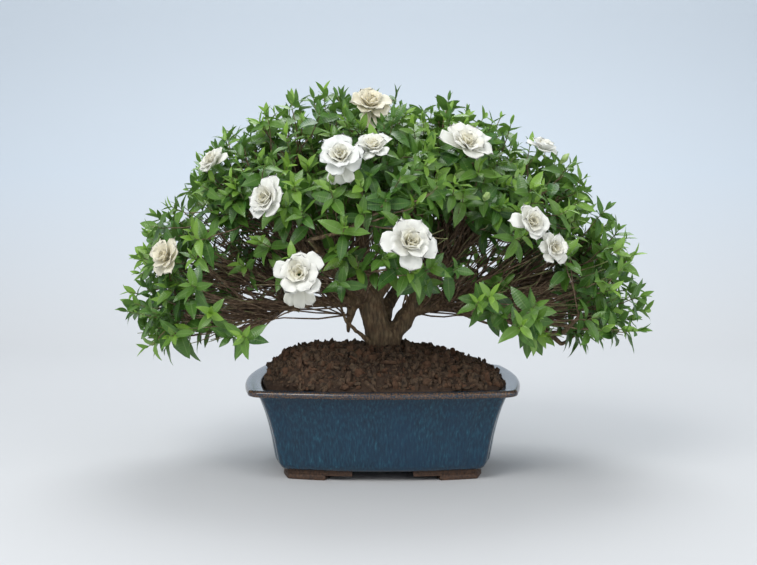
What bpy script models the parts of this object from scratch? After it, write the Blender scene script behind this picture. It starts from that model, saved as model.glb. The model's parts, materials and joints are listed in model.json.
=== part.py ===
"""A small-leaved gardenia grown as a bonsai in a glazed rectangular pot.

Metres, +Z up, +X along the pot's length, -Y its front. The origin is on the ground
under the middle of the plant. The pot, its soil, the drain screens and their wire
clips, and the wood of the tree are modelled as they are. Foliage is a set of closed
soft masses that together make the dome, each on the end of a limb, and each bloom
and bud is a closed solid of its own.
"""

import math
import random

import bmesh
import bpy
from mathutils import Vector

MM = 0.001
GAP = 0.35 * MM  # left between neighbours that touch

# Pot, over its lip
POT_HALF_LENGTH = 150 * MM
POT_HALF_DEPTH = 119 * MM
FOOT_HEIGHT = 11 * MM
FLOOR_TOP = 20 * MM
CORNER_RADIUS = 15 * MM
BOW_LENGTH = 9 * MM  # how far the end walls swell past their corners
BOW_DEPTH = 13 * MM  # and the long walls
CREASE_INSET = 20 * MM  # from a wall's end to the crease that sets off the corner
CREASE_DEPTH = 2.4 * MM
CREASE_WIDTH = 4 * MM

# The pot's wall, as (height, inset from the lip's outline, crease depth), from the
# underside up the outside, over the lip and down the inside
OUTER_WALL = [
    (11.0, 38.0, 0.0),
    (13.0, 33.5, 0.4),
    (18.0, 30.5, 1.0),
    (42.0, 26.6, 1.0),
    (66.0, 20.8, 1.0),
    (84.0, 14.6, 0.9),
    (92.0, 10.6, 0.3),
]
LIP = [(93.2, 2.4, 0.0), (96.0, 0.0, 0.0), (99.0, 0.8, 0.0), (100.0, 3.2, 0.0)]
INNER_WALL = [
    (99.2, 15.6, 0.0),
    (97.0, 17.8, 0.0),
    (50.0, 32.4, 0.0),
    (25.0, 38.4, 0.0),
    (20.0, 43.4, 0.0),
]
SIDE_STEPS = [-1.0, -0.9, -0.8, -0.7, -0.38, 0.0, 0.38, 0.7, 0.8, 0.9, 1.0]
CORNER_STEPS = 3

# Feet: a low bar under a longer, thinner one, both wrapped round the pot's corner
FOOT_SETBACK = 2.5 * MM
FOOT_THICKNESS = 13 * MM
FOOT_STEP = 5.5 * MM
FOOT_LOWER_REACH = 56 * MM
FOOT_UPPER_REACH = 82 * MM
FOOT_SIDE_SHARE = 0.72  # the reach along the short walls, beside the long ones
FOOT_OVERHANG = 1.5 * MM
NEAR_CORNER = 0.3
END_SPACE = 4 * MM

# Drainage
DRAIN_HOLE_X = 56 * MM
DRAIN_HOLE_RADIUS = 9 * MM
SCREEN_SIZE = 38 * MM
SCREEN_THICKNESS = 1.4 * MM
SCREEN_BARS = 5
SCREEN_BAR_WIDTH = 2.2 * MM
SCREEN_PITCH = (SCREEN_SIZE - SCREEN_BAR_WIDTH) / (SCREEN_BARS - 1)
CLIP_WIRE_RADIUS = 0.8 * MM
CLIP_LEG = SCREEN_PITCH / 2  # off the middle both ways, so a leg drops through a mesh
CLIP_FOOT = 16 * MM

# Soil mound
SOIL_EDGE = 97 * MM
SOIL_RISE = 36.5 * MM
SOIL_INSET = 18 * MM
SOIL_FALL_LEFT = 6.0
SOIL_FALL_RIGHT = 2.2
SOIL_FALL_ACROSS = 2.6
SOIL_RINGS = [0.86, 0.68, 0.48, 0.26]

# Canopy: half of an ellipsoid, and the layer of it that holds the leaves
CANOPY_CENTRE = Vector((0.0, 0.0, 148 * MM))
CANOPY_RADII = Vector((302 * MM, 232 * MM, 280 * MM))
LAYER_INSIDE = 0.62
MASS_REACH = 92 * MM
MASS_SEGMENTS = 10
MASS_RINGS = 6

# Foliage masses in rings: (elevation, first azimuth, step, count, share of the radius)
MASS_RINGS_LAID = [
    (8.0, -30.0, 30.0, 3, 0.80),
    (8.0, 150.0, 30.0, 3, 0.80),
    (24.0, 60.0, 30.0, 3, 0.80),
    (24.0, -112.0, 44.0, 2, 0.80),
    (40.0, 0.0, 45.0, 8, 0.79),
    (63.0, 30.0, 60.0, 6, 0.78),
    (90.0, 0.0, 0.0, 1, 0.80),
]
END_CLEARANCE = 137 * MM  # the lowest leaves, at the two ends
FRONT_CLEARANCE = 196 * MM  # and over the middle of the pot

# Wood: (x, y, z, radius) in millimetres along each stem or limb
TRUNK_STEMS = [
    [(3, 1, 58, 19), (2, 0, 100, 21), (1, 0, 122, 20), (0, 0, 138, 17.5), (-1, 0, 147, 17),
     (-7, 1, 160, 15), (-11, 2, 175, 14.5), (-14, 3, 192, 13)],
    [(6, 2, 110, 14), (8, 2, 140, 12.5), (13, 3, 150, 11.5), (22, 4, 161, 10.5),
     (29, 5, 172, 10), (36, 6, 184, 8.5)],
    [(0, 8, 120, 12), (0, 12, 145, 11), (2, 22, 164, 9.5), (4, 32, 182, 8)],
    [(-16, 0, 194, 9), (-27, -2, 188, 6.5), (-34, -3, 175, 5), (-37, -4, 162, 3.4),
     (-38, -6, 150, 2.2)],
    [(9, 4, 158, 4), (17, 6, 146, 2.2), (20, 6, 134, 2.2), (21, 5, 112, 2)],
]
LIMBS = [
    [(-14, 3, 188, 12), (-20, 6, 225, 9), (-24, 4, 264, 7), (-21, 0, 305, 5.4), (-14, -4, 345, 3.6)],
    [(-18, 3, 185, 9), (-50, -10, 215, 7.4), (-92, -24, 250, 5.8), (-130, -34, 284, 4.2),
     (-160, -40, 306, 3)],
    [(-22, -2, 184, 8), (-58, -12, 185, 6.4), (-105, -20, 182, 5.4), (-124, -21, 168, 4.6),
     (-146, -20, 155, 4), (-168, -14, 152, 3.4), (-200, -5, 162, 2.6)],
    [(-22, 4, 186, 9), (-70, 18, 200, 7.4), (-120, 30, 206, 6), (-170, 36, 216, 4.6),
     (-212, 38, 230, 3.2)],
    [(33, 6, 178, 9), (46, 8, 205, 8), (72, 6, 232, 6.8), (105, 0, 262, 5.6), (138, -10, 290, 4.2),
     (160, -18, 310, 3)],
    [(33, 6, 176, 8.4), (80, 16, 192, 6.6), (130, 26, 201, 5.4), (180, 32, 207, 4.2),
     (220, 34, 218, 3)],
    [(31, 5, 172, 7.5), (68, -8, 182, 6), (100, -16, 172, 5.2), (135, -18, 167, 4.6),
     (165, -16, 161, 4), (183, -12, 150, 3.4), (197, -10, 137, 2.6)],
    [(-16, -6, 190, 8), (-30, -45, 205, 6.4), (-48, -85, 226, 5), (-64, -118, 246, 3.6),
     (-74, -136, 258, 2.8)],
    [(16, 0, 186, 8), (34, -45, 205, 6.4), (52, -88, 228, 5), (68, -120, 250, 3.6),
     (76, -136, 262, 2.8)],
    [(-8, 14, 182, 9), (-30, 52, 205, 7), (-60, 92, 228, 5.2), (-84, 124, 250, 3.6),
     (-96, 142, 262, 2.8)],
    [(6, 32, 178, 8), (26, 62, 205, 6.6), (56, 98, 232, 5), (82, 126, 254, 3.6), (94, 142, 266, 2.8)],
    [(-6, 6, 190, 9), (16, 12, 226, 7.4), (36, 12, 270, 6), (58, 8, 318, 4.4), (70, 5, 345, 3.2)],
    [(-20, 8, 200, 8), (-45, 16, 242, 6.6), (-74, 22, 290, 4.8), (-92, 22, 326, 3.4)],
]
ROOT_COUNT = 6
ROOT_LENGTH = 62 * MM
SHOOT = [(-6, -13, 128, 3), (-14, -17, 141, 3), (-29, -15, 153, 2.7), (-40, -13, 163, 2.2),
         (-46, -14, 180, 1.5)]
TWIG_END_RADIUS = 2.0 * MM
TRUNK_SIDES = 4  # bevel resolutions
LIMB_SIDES = 1

# Blooms: (x, y, z, radius) in millimetres, then the azimuth and elevation they face
BLOOMS = [
    (-13, -88, 397, 21, -100, 45),
    (-42, -152, 342, 23, -112, 30),
    (-12, -142, 350, 19, -78, 40),
    (83, -130, 355, 24, -80, 32),
    (-114, -160, 300, 23, -70, 25),
    (24, -204, 257, 25, -84, 14),
    (-82, -202, 228, 22, -92, 12),
    (-219, -126, 241, 22, -128, 10),
    (-175, -88, 337, 20, -130, 40),
    (145, -164, 277, 21, -62, 22),
    (167, -158, 252, 17, -50, 0),
    (167, -76, 351, 20, -50, 40),
    (60, 150, 345, 22, 70, 35),
    (-120, 172, 282, 23, 115, 20),
    (150, 160, 268, 22, 50, 15),
    (-15, 206, 258, 23, 95, 12),
]
BLOOM_SEGMENTS = 12
SEAT_SEGMENTS = 8
# A bloom's outline: (angle from its front, share of its radius), front to calyx
BLOOM_OUTLINE = [
    (0, 0.62), (32, 0.72), (62, 0.92), (84, 1.0), (104, 0.84), (128, 0.42), (156, 0.50), (180, 0.56),
]
BLOOM_LOBES = 6
LOBE_DEPTH = 0.10

# Flower buds: (x, y, z) of the middle in millimetres, azimuth and elevation
BUDS = [(188, -70, 338, -40, 40), (100, -168, 300, -60, 50), (-50, -150, 318, -95, 45),
        (-20, 150, 352, 100, 50)]
BUD_RADIUS = 3.6 * MM
BUD_LENGTH = 15 * MM

COLOURS = {
    "glaze": (0.012, 0.060, 0.115, 0.18, 0.0),
    "soil": (0.030, 0.017, 0.010, 0.95, 0.0),
    "bark": (0.075, 0.045, 0.024, 0.85, 0.0),
    "leaf": (0.030, 0.110, 0.018, 0.35, 0.0),
    "petal": (0.800, 0.790, 0.700, 0.55, 0.0),
    "bud": (0.240, 0.380, 0.090, 0.45, 0.0),
    "screen": (0.020, 0.020, 0.020, 0.60, 0.0),
    "clip": (0.600, 0.600, 0.600, 0.35, 1.0),
}


def clear_scene():
    for ob in list(bpy.data.objects):
        bpy.data.objects.remove(ob, do_unlink=True)


def collection(name):
    made = bpy.data.collections.new(name)
    bpy.context.scene.collection.children.link(made)
    return made


def material(name):
    red, green, blue, roughness, metallic = COLOURS[name]
    made = bpy.data.materials.new(name)
    made.use_nodes = True
    shader = made.node_tree.nodes["Principled BSDF"]
    shader.inputs["Base Color"].default_value = (red, green, blue, 1.0)
    shader.inputs["Roughness"].default_value = roughness
    shader.inputs["Metallic"].default_value = metallic
    return made


def mesh_object(name, bm, home, finish=None):
    """A new object from bm, which is freed, with its faces turned outwards."""
    bmesh.ops.recalc_face_normals(bm, faces=bm.faces[:])
    mesh = bpy.data.meshes.new(name)
    bm.to_mesh(mesh)
    bm.free()
    made = bpy.data.objects.new(name, mesh)
    home.objects.link(made)
    if finish is not None:
        mesh.materials.append(finish)
    return made


def as_cutter(ob):
    ob.hide_render = True
    ob.display_type = "WIRE"
    return ob


def combine(ob, other, operation, solver="EXACT"):
    """Applies one Boolean with other, and keeps the result as ob's own mesh."""
    step = ob.modifiers.new("combine", "BOOLEAN")
    step.operation = operation
    step.solver = solver
    step.object = other
    bpy.context.view_layer.update()
    result = bpy.data.meshes.new_from_object(ob.evaluated_get(bpy.context.evaluated_depsgraph_get()))
    ob.modifiers.remove(step)
    ob.data = result


def keep_largest(ob):
    """Drops the crumbs that a cut leaves beside the main body."""
    bm = bmesh.new()
    bm.from_mesh(ob.data)
    bmesh.ops.remove_doubles(bm, verts=bm.verts[:], dist=0.000002)
    left = set(bm.verts)
    groups = []
    while left:
        group = {left.pop()}
        edge = list(group)
        while edge:
            near = {e.other_vert(v) for v in edge for e in v.link_edges} & left
            left -= near
            group |= near
            edge = list(near)
        groups.append(group)
    groups.sort(key=len)
    for group in groups[:-1]:
        bmesh.ops.delete(bm, geom=list(group), context="VERTS")
    bm.to_mesh(ob.data)
    bm.free()


def loft(rings, home, name, finish=None):
    """A closed body through rings of equal count, capped at both ends."""
    bm = bmesh.new()
    layers = [[bm.verts.new(p) for p in ring] for ring in rings]
    count = len(layers[0])
    for low, high in zip(layers, layers[1:]):
        for i in range(count):
            j = (i + 1) % count
            bm.faces.new((low[i], low[j], high[j], high[i]))
    bm.faces.new(layers[0][::-1])
    bm.faces.new(layers[-1])
    return mesh_object(name, bm, home, finish)


# ---- Pot ----


def wall_outline(height, inset, crease):
    """One ring of the pot: four bowed sides, creased near their ends, round corners."""
    length = POT_HALF_LENGTH - BOW_LENGTH - inset
    depth = POT_HALF_DEPTH - BOW_DEPTH - inset
    radius = max(CORNER_RADIUS - 0.25 * inset, 4 * MM)
    ring = []
    for side in range(4):
        turn = side * math.pi / 2
        along, out = (length, depth) if side % 2 == 0 else (depth, length)
        bow = BOW_DEPTH if side % 2 == 0 else BOW_LENGTH
        straight = along - radius
        crease_at = straight - CREASE_INSET + radius
        for step in SIDE_STEPS:
            s = step * straight
            dent = CREASE_DEPTH * crease * math.exp(-(((abs(s) - crease_at) / CREASE_WIDTH) ** 2))
            ring.append(turned(s, -(out + bow * (1 - step * step) - dent), turn, height))
        for k in range(1, CORNER_STEPS + 1):
            angle = math.pi / 2 * k / (CORNER_STEPS + 1)
            x = straight + radius * math.sin(angle)
            y = -(out - radius + radius * math.cos(angle))
            ring.append(turned(x, y, turn, height))
    return ring


def turned(x, y, angle, z):
    c, s = math.cos(angle), math.sin(angle)
    return Vector((x * c - y * s, x * s + y * c, z))


def pot_ring(row):
    height, inset, crease = row
    return wall_outline(height * MM, inset * MM, crease)


def foot_band(name, low, high, reach, sign_x, sign_y, home):
    """A bar that follows the pot's edge round one corner, between two heights."""
    def edge(set_in):
        outer = wall_outline(0.0, OUTER_WALL[0][1] * MM - FOOT_OVERHANG + set_in, 0.0)
        corner_x = max(p.x for p in outer)
        corner_y = -min(p.y for p in outer)
        quarter = []
        for p in outer:
            near_end = p.x > corner_x - reach and p.y < 0
            near_side = -p.y > corner_y - reach * FOOT_SIDE_SHARE and p.x > 0
            if near_end and near_side:
                quarter.append(p)
        return quarter, corner_x, corner_y

    band = []
    for set_in in (FOOT_SETBACK, FOOT_SETBACK + FOOT_THICKNESS):
        quarter, corner_x, corner_y = edge(set_in)
        quarter = [p for p in quarter if p.x > NEAR_CORNER * corner_x and -p.y > NEAR_CORNER * corner_y]
        start_x = POT_HALF_LENGTH - OUTER_WALL[0][1] * MM - reach
        start_y = POT_HALF_DEPTH - OUTER_WALL[0][1] * MM - reach * FOOT_SIDE_SHARE
        first = Vector((start_x, quarter[0].y - 1.2 * MM, 0))
        last = Vector((quarter[-1].x + 1.0 * MM, -start_y, 0))
        quarter = [p for p in quarter if p.x > start_x + END_SPACE and -p.y > start_y + END_SPACE]
        band.append([first] + quarter + [last])
    outer, inner = band
    bm = bmesh.new()
    rows = []
    for z in (low, high):
        rows.append([[bm.verts.new((sign_x * p.x, sign_y * p.y, z)) for p in line] for line in band])
    (outer_low, inner_low), (outer_high, inner_high) = rows
    loop_low = outer_low + inner_low[::-1]
    loop_high = outer_high + inner_high[::-1]
    count = len(loop_low)
    for i in range(count):
        j = (i + 1) % count
        bm.faces.new((loop_low[i], loop_low[j], loop_high[j], loop_high[i]))
    bm.faces.new(loop_low[::-1])
    bm.faces.new(loop_high)
    bmesh.ops.triangulate(bm, faces=bm.faces[:])
    return as_cutter(mesh_object(name, bm, home))


def make_pot(home, cutters):
    rows = OUTER_WALL + LIP + INNER_WALL
    pot = loft([pot_ring(row) for row in rows], home, "pot", material("glaze"))
    for sign_x in (-1, 1):
        for sign_y in (-1, 1):
            upper = foot_band("foot_upper", FOOT_STEP, FOOT_HEIGHT + 2 * MM, FOOT_UPPER_REACH,
                              sign_x, sign_y, cutters)
            combine(pot, upper, "UNION")
            lower = foot_band("foot_lower", 0.0, FOOT_HEIGHT, FOOT_LOWER_REACH, sign_x, sign_y, cutters)
            combine(pot, lower, "UNION")
    for sign_x in (-1, 1):
        bpy.ops.mesh.primitive_cylinder_add(vertices=20, radius=DRAIN_HOLE_RADIUS, depth=FLOOR_TOP,
                                            location=(sign_x * DRAIN_HOLE_X, 0, FLOOR_TOP * 0.8))
        hole = adopt("drain_hole", cutters)
        combine(pot, as_cutter(hole), "DIFFERENCE")
    keep_largest(pot)
    return pot


def adopt(name, home):
    """Moves the object just added into a collection of the model's own."""
    ob = bpy.context.active_object
    ob.name = name
    for old in list(ob.users_collection):
        old.objects.unlink(ob)
    home.objects.link(ob)
    return ob


# ---- Drain screens and their clips ----


def box(name, size, centre, home):
    bm = bmesh.new()
    bmesh.ops.create_cube(bm, size=1.0)
    bmesh.ops.scale(bm, vec=size, verts=bm.verts[:])
    bmesh.ops.translate(bm, vec=centre, verts=bm.verts[:])
    return mesh_object(name, bm, home)


def make_screen(name, x, home):
    """A square of coarse plastic mesh that lies over a drain hole: a pierced sheet."""
    lines = []
    for k in range(SCREEN_BARS):
        start = -SCREEN_SIZE / 2 + k * SCREEN_PITCH
        lines += [start, start + SCREEN_BAR_WIDTH]
    bm = bmesh.new()
    grid = [[bm.verts.new((x + a, b, FLOOR_TOP + GAP)) for a in lines] for b in lines]
    for i in range(len(lines) - 1):
        for j in range(len(lines) - 1):
            if i % 2 == 1 and j % 2 == 1:
                continue
            bm.faces.new((grid[i][j], grid[i][j + 1], grid[i + 1][j + 1], grid[i + 1][j]))
    screen = mesh_object(name, bm, home, material("screen"))
    wall = screen.modifiers.new("thickness", "SOLIDIFY")
    wall.thickness = SCREEN_THICKNESS
    wall.offset = -1.0 if screen.data.polygons[0].normal.z < 0 else 1.0
    return screen


def tube(name, points, home, resolution, finish=None):
    """A closed mesh along points, (position, radius), made from a bevelled curve."""
    curve = bpy.data.curves.new(name, "CURVE")
    curve.dimensions = "3D"
    curve.bevel_depth = MM
    curve.bevel_resolution = resolution
    curve.use_fill_caps = True
    spline = curve.splines.new("POLY")
    spline.points.add(len(points) - 1)
    for point, (place, radius) in zip(spline.points, points):
        point.co = (*place, 1.0)
        point.radius = radius / MM
    line = bpy.data.objects.new(name, curve)
    home.objects.link(line)
    bpy.context.view_layer.update()
    mesh = bpy.data.meshes.new_from_object(line.evaluated_get(bpy.context.evaluated_depsgraph_get()))
    bm = bmesh.new()
    bm.from_mesh(mesh)
    bm.transform(line.matrix_world)
    bmesh.ops.remove_doubles(bm, verts=bm.verts[:], dist=0.00001)
    bpy.data.objects.remove(line)
    return mesh_object(name, bm, home, finish)


def make_clip(name, x, home):
    """A wire that passes down through the screen and hooks under the pot's floor."""
    top = FLOOR_TOP + 2 * GAP + SCREEN_THICKNESS + CLIP_WIRE_RADIUS
    under = FOOT_HEIGHT - GAP - CLIP_WIRE_RADIUS
    route = [(-CLIP_FOOT, under), (-CLIP_LEG - MM, under), (-CLIP_LEG, under + MM),
             (-CLIP_LEG, top - MM), (-CLIP_LEG + MM, top)]
    route += [(-a, z) for a, z in route[::-1]]
    centre_line = [(Vector((x, a, z)), CLIP_WIRE_RADIUS) for a, z in route]
    return tube(name, centre_line, home, 1, material("clip"))


# ---- Soil ----


def soil_height(x, y):
    """The mound: steep at the left end, sloping off to the right, highest at the trunk."""
    u = min(abs(x) / (POT_HALF_LENGTH - SOIL_INSET), 1.0)
    v = min(abs(y) / (POT_HALF_DEPTH - SOIL_INSET), 1.0)
    fall = SOIL_FALL_LEFT if x < 0 else SOIL_FALL_RIGHT
    return SOIL_EDGE + SOIL_RISE * (1 - u**fall) * (1 - v**SOIL_FALL_ACROSS)


def make_soil(home, wood_cutter, cutters):
    rng = random.Random(4)
    rings = []
    for height, inset, _ in INNER_WALL[:0:-1]:
        lift = GAP if height * MM == FLOOR_TOP else 0.0
        rings.append(wall_outline(height * MM + lift, inset * MM + 1.3 * GAP, 0.0))
    rim = rings[-1]
    for share in SOIL_RINGS:
        ring = []
        for p in rim:
            x, y = p.x * share, p.y * share
            ring.append(Vector((x, y, soil_height(x, y) + rng.uniform(-1.2, 1.2) * MM)))
        rings.append(ring)
    soil = loft(rings, home, "soil", material("soil"))
    combine(soil, wood_cutter, "DIFFERENCE")
    for sign_x in (-1, 1):
        size = SCREEN_SIZE + 2 * GAP
        tall = 2 * (SCREEN_THICKNESS + 2 * CLIP_WIRE_RADIUS + 4 * GAP)
        seat = box("screen_seat", (size, size, tall), (sign_x * DRAIN_HOLE_X, 0, FLOOR_TOP), cutters)
        combine(soil, as_cutter(seat), "DIFFERENCE")
    keep_largest(soil)
    return soil


# ---- Wood ----


def smooth_route(points, per_span):
    """Catmull-Rom points through (x, y, z, radius) rows in millimetres."""
    rows = [Vector((x, y, z, r)) * MM for x, y, z, r in points]
    padded = [rows[0] * 2 - rows[1]] + rows + [rows[-1] * 2 - rows[-2]]
    route = []
    for i in range(1, len(rows)):
        a, b, c, d = padded[i - 1 : i + 3]
        for k in range(per_span):
            t = k / per_span
            route.append(0.5 * (2 * b + (c - a) * t + (2 * a - 5 * b + 4 * c - d) * t**2
                                + (3 * b - a - 3 * c + d) * t**3))
    route.append(rows[-1])
    return [(Vector(p[:3]), p[3]) for p in route]


def branch_to(target, limbs):
    """A branch from the limb point that serves target best, bending out and up to it."""
    best = None
    for limb in limbs:
        for place, radius in limb[2:]:
            away = (target - place).length
            back = max(0.0, place.length - target.length)
            cost = away + 2 * back + max(0.0, place.z - target.z)
            if best is None or cost < best[0]:
                best = (cost, place, radius)
    _, start, radius = best
    end = start.lerp(target, 0.92)
    middle = start.lerp(end, 0.5) + Vector((0, 0, -0.10)) * (end - start).length
    first = min(radius * 0.85, 4.2 * MM)
    return [(start, first), (middle, first * 0.7 + TWIG_END_RADIUS * 0.3), (end, TWIG_END_RADIUS)]


def wood_routes(mass_centres):
    """Every stem, limb, branch and root, as (route, bevel resolution)."""
    routes = [(smooth_route(stem, 1), TRUNK_SIDES if stem[0][3] > 6 else LIMB_SIDES)
              for stem in TRUNK_STEMS]
    limbs = [smooth_route(limb, 1) for limb in LIMBS]
    routes += [(limb, LIMB_SIDES + 1 if limb[0][1] > 8.5 * MM else LIMB_SIDES) for limb in limbs]
    routes += [(branch_to(centre, limbs), LIMB_SIDES) for centre in mass_centres]
    for k in range(ROOT_COUNT):
        turn = 2 * math.pi * (k + 0.3) / ROOT_COUNT
        out = Vector((math.cos(turn), math.sin(turn) * 0.8, 0))
        start = Vector((1 * MM, 0, 122 * MM))
        root = [(start + out * 8 * MM, 8 * MM)]
        root.append((start + out * 0.45 * ROOT_LENGTH + Vector((0, 0, -14 * MM)), 5.5 * MM))
        root.append((start + out * ROOT_LENGTH + Vector((0, 0, -38 * MM)), 2.5 * MM))
        routes.append((root, LIMB_SIDES))
    routes.append((smooth_route(SHOOT, 1), LIMB_SIDES))
    return routes


def join_tubes(name, routes, grown, home, cutters, finish=None):
    """One body from all the tubes, each swollen by grown."""
    whole = None
    for route, sides in routes:
        swollen = [(place, radius + grown) for place, radius in route]
        if grown > 0:
            (first, r), (second, _) = swollen[0], swollen[1]
            swollen[0] = (first + (first - second).normalized() * grown, r)
            (last, r), (before, _) = swollen[-1], swollen[-2]
            swollen[-1] = (last + (last - before).normalized() * grown, r)
        piece = tube(name, swollen, home if whole is None else cutters, sides)
        if whole is None:
            whole = piece
        else:
            # limbs leave the trunk at shallow angles, where the exact solver leaves slits
            combine(whole, as_cutter(piece), "UNION", "MANIFOLD")
            bpy.data.objects.remove(piece)
    whole.name = name
    keep_largest(whole)
    whole.data.materials.clear()
    if finish is not None:
        whole.data.materials.append(finish)
    return whole


# ---- Foliage ----


def on_canopy(azimuth, elevation, share):
    turn, lift = math.radians(azimuth), math.radians(elevation)
    way = Vector((math.cos(lift) * math.cos(turn), math.cos(lift) * math.sin(turn), math.sin(lift)))
    return CANOPY_CENTRE + Vector([w * r for w, r in zip(way, CANOPY_RADII)]) * share


def canopy_share(place):
    away = place - CANOPY_CENTRE
    return math.sqrt(sum((a / r) ** 2 for a, r in zip(away, CANOPY_RADII)))


def mass_centres():
    centres = []
    for elevation, first, step, count, share in MASS_RINGS_LAID:
        for k in range(count):
            centres.append(on_canopy(first + k * step, elevation, share))
    return centres


def clearance(place):
    """The lowest that leaves hang: high over the pot's middle, low at the two ends."""
    u = min(abs(place.x) / (200 * MM), 1.0)
    return FRONT_CLEARANCE + (END_CLEARANCE - FRONT_CLEARANCE) * u * u * (3 - 2 * u)


def own_reach(centre, way, rivals, most):
    """How far from centre along way stays nearer to it than to every rival."""
    reach = most
    for rival in rivals:
        apart = rival - centre
        toward = way.dot(apart) / apart.length
        if toward > 0.02:
            reach = min(reach, (apart.length / 2 - GAP) / toward)
    return reach


def in_layer(place):
    return LAYER_INSIDE < canopy_share(place) < 1.0 and place.z > clearance(place)


def sphere_ways(segments, rings):
    """Unit directions of a UV sphere, pole first, ring by ring."""
    ways = [[Vector((0, 0, 1))]]
    for j in range(1, rings):
        lift = math.pi * j / rings
        ways.append([Vector((math.sin(lift) * math.cos(2 * math.pi * i / segments),
                             math.sin(lift) * math.sin(2 * math.pi * i / segments),
                             math.cos(lift))) for i in range(segments)])
    ways.append([Vector((0, 0, -1))])
    return ways


def star_body(name, rows, home, finish=None):
    """A closed body from rows of points, whose first and last row are single points."""
    bm = bmesh.new()
    layers = [[bm.verts.new(p) for p in row] for row in rows]
    for low, high in zip(layers, layers[1:]):
        count = max(len(low), len(high))
        for i in range(count):
            j = (i + 1) % count
            corners = [low[i % len(low)], low[j % len(low)], high[j % len(high)], high[i % len(high)]]
            bm.faces.new(list(dict.fromkeys(corners)))
    bmesh.ops.triangulate(bm, faces=bm.faces[:])
    return mesh_object(name, bm, home, finish)


def make_mass(name, centre, rivals, home, finish, rng):
    """One soft mass of leaves: its own share of the canopy's layer, lobed outside."""
    rows = []
    for row in sphere_ways(MASS_SEGMENTS, MASS_RINGS):
        points = []
        for way in row:
            reach = own_reach(centre, way, rivals, MASS_REACH)
            steps = 24
            inside = 0
            while inside < steps and in_layer(centre + way * (reach * (inside + 1) / steps)):
                inside += 1
            reach *= max(inside, 3) / steps
            points.append(centre + way * (reach * rng.uniform(0.93, 1.0)))
        rows.append(points)
    return star_body(name, rows, home, finish)


# ---- Blooms and buds ----


def facing(azimuth, elevation):
    """A frame whose third axis points the way a flower faces."""
    turn, lift = math.radians(azimuth), math.radians(elevation)
    front = Vector((math.cos(lift) * math.cos(turn), math.cos(lift) * math.sin(turn), math.sin(lift)))
    side = Vector((-math.sin(turn), math.cos(turn), 0))
    return side, front.cross(side), front


def make_bloom(name, centre, radius, frame, rivals, grown, home, finish=None):
    """A double flower as a closed body: lobed round its edge, narrowing to its calyx."""
    side, up, front = frame
    depth = LOBE_DEPTH if grown == 0 else -LOBE_DEPTH
    segments = BLOOM_SEGMENTS if grown == 0 else SEAT_SEGMENTS
    rows = []
    for lift, share in BLOOM_OUTLINE:
        points = []
        tip = lift in (0, 180)
        for i in range(1 if tip else segments):
            turn = 2 * math.pi * i / segments
            lobe = depth if grown > 0 else depth * (1 - math.cos(BLOOM_LOBES * turn)) / 2
            edge = math.sin(math.radians(lift)) ** 2
            way = (side * math.cos(turn) + up * math.sin(turn)) * math.sin(math.radians(lift))
            way = way + front * math.cos(math.radians(lift))
            reach = radius * share * (1 - lobe * edge) + grown
            reach = min(reach, own_reach(centre, way, rivals, radius * 2) + grown)
            points.append(centre + way * reach)
        rows.append(points)
    return star_body(name, rows, home, finish)


def make_bud(name, centre, frame, grown, home, finish=None):
    """A pointed furled bud on its short calyx."""
    side, up, front = frame
    profile = [(0.62, 0.0), (0.40, 0.42), (0.10, 1.0), (-0.15, 0.9), (-0.32, 0.5), (-0.38, 0.0)]
    rows = []
    for along, width in profile:
        count = 1 if width == 0 else 8
        end = (grown if along > 0 else -grown) if width == 0 else 0.0
        row = []
        for i in range(count):
            turn = 2 * math.pi * i / 8
            out = (side * math.cos(turn) + up * math.sin(turn)) * (BUD_RADIUS * width + grown)
            row.append(centre + front * (along * BUD_LENGTH + end) + (out if width else Vector()))
        rows.append(row)
    return star_body(name, rows, home, finish)


def make_flowers(home, cutters):
    """All blooms and buds, and the swollen copies that seat them in the foliage."""
    seats = []
    petal, green = material("petal"), material("bud")
    centres = [Vector(row[:3]) * MM for row in BLOOMS]
    for i, (x, y, z, radius, azimuth, elevation) in enumerate(BLOOMS):
        rivals = [c for j, c in enumerate(centres) if j != i and (c - centres[i]).length < 70 * MM]
        frame = facing(azimuth, elevation)
        name = f"bloom_{i + 1:02d}"
        make_bloom(name, centres[i], radius * MM, frame, rivals, 0.0, home, petal)
        seat = make_bloom(name + "_seat", centres[i], radius * MM, frame, [], 1.2 * MM, cutters)
        seats.append((centres[i], as_cutter(seat)))
    for i, (x, y, z, azimuth, elevation) in enumerate(BUDS):
        centre = Vector((x, y, z)) * MM
        frame = facing(azimuth, elevation)
        name = f"bud_{i + 1}"
        make_bud(name, centre, frame, 0.0, home, green)
        seats.append((centre, as_cutter(make_bud(name + "_seat", centre, frame, 0.8 * MM, cutters))))
    return seats


def make_foliage(centres, wood_cutter, seats, home):
    leaf = material("leaf")
    rng = random.Random(11)
    for i, centre in enumerate(centres):
        rivals = [c for j, c in enumerate(centres) if j != i]
        mass = make_mass(f"foliage_{i + 1:02d}", centre, rivals, home, leaf, rng)
        combine(mass, wood_cutter, "DIFFERENCE")
        for place, seat in seats:
            if (place - centre).length < MASS_REACH + 30 * MM:
                combine(mass, seat, "DIFFERENCE")
        keep_largest(mass)


def centre_on_ground(home):
    """Puts the middle of the whole plant's outline over the origin."""
    bpy.context.view_layer.update()
    corners = [ob.matrix_world @ v.co for ob in home.objects for v in ob.data.vertices]
    shift = Vector([-(min(c[k] for c in corners) + max(c[k] for c in corners)) / 2 for k in (0, 1)] + [0])
    for ob in home.objects:
        ob.location = shift


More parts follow.
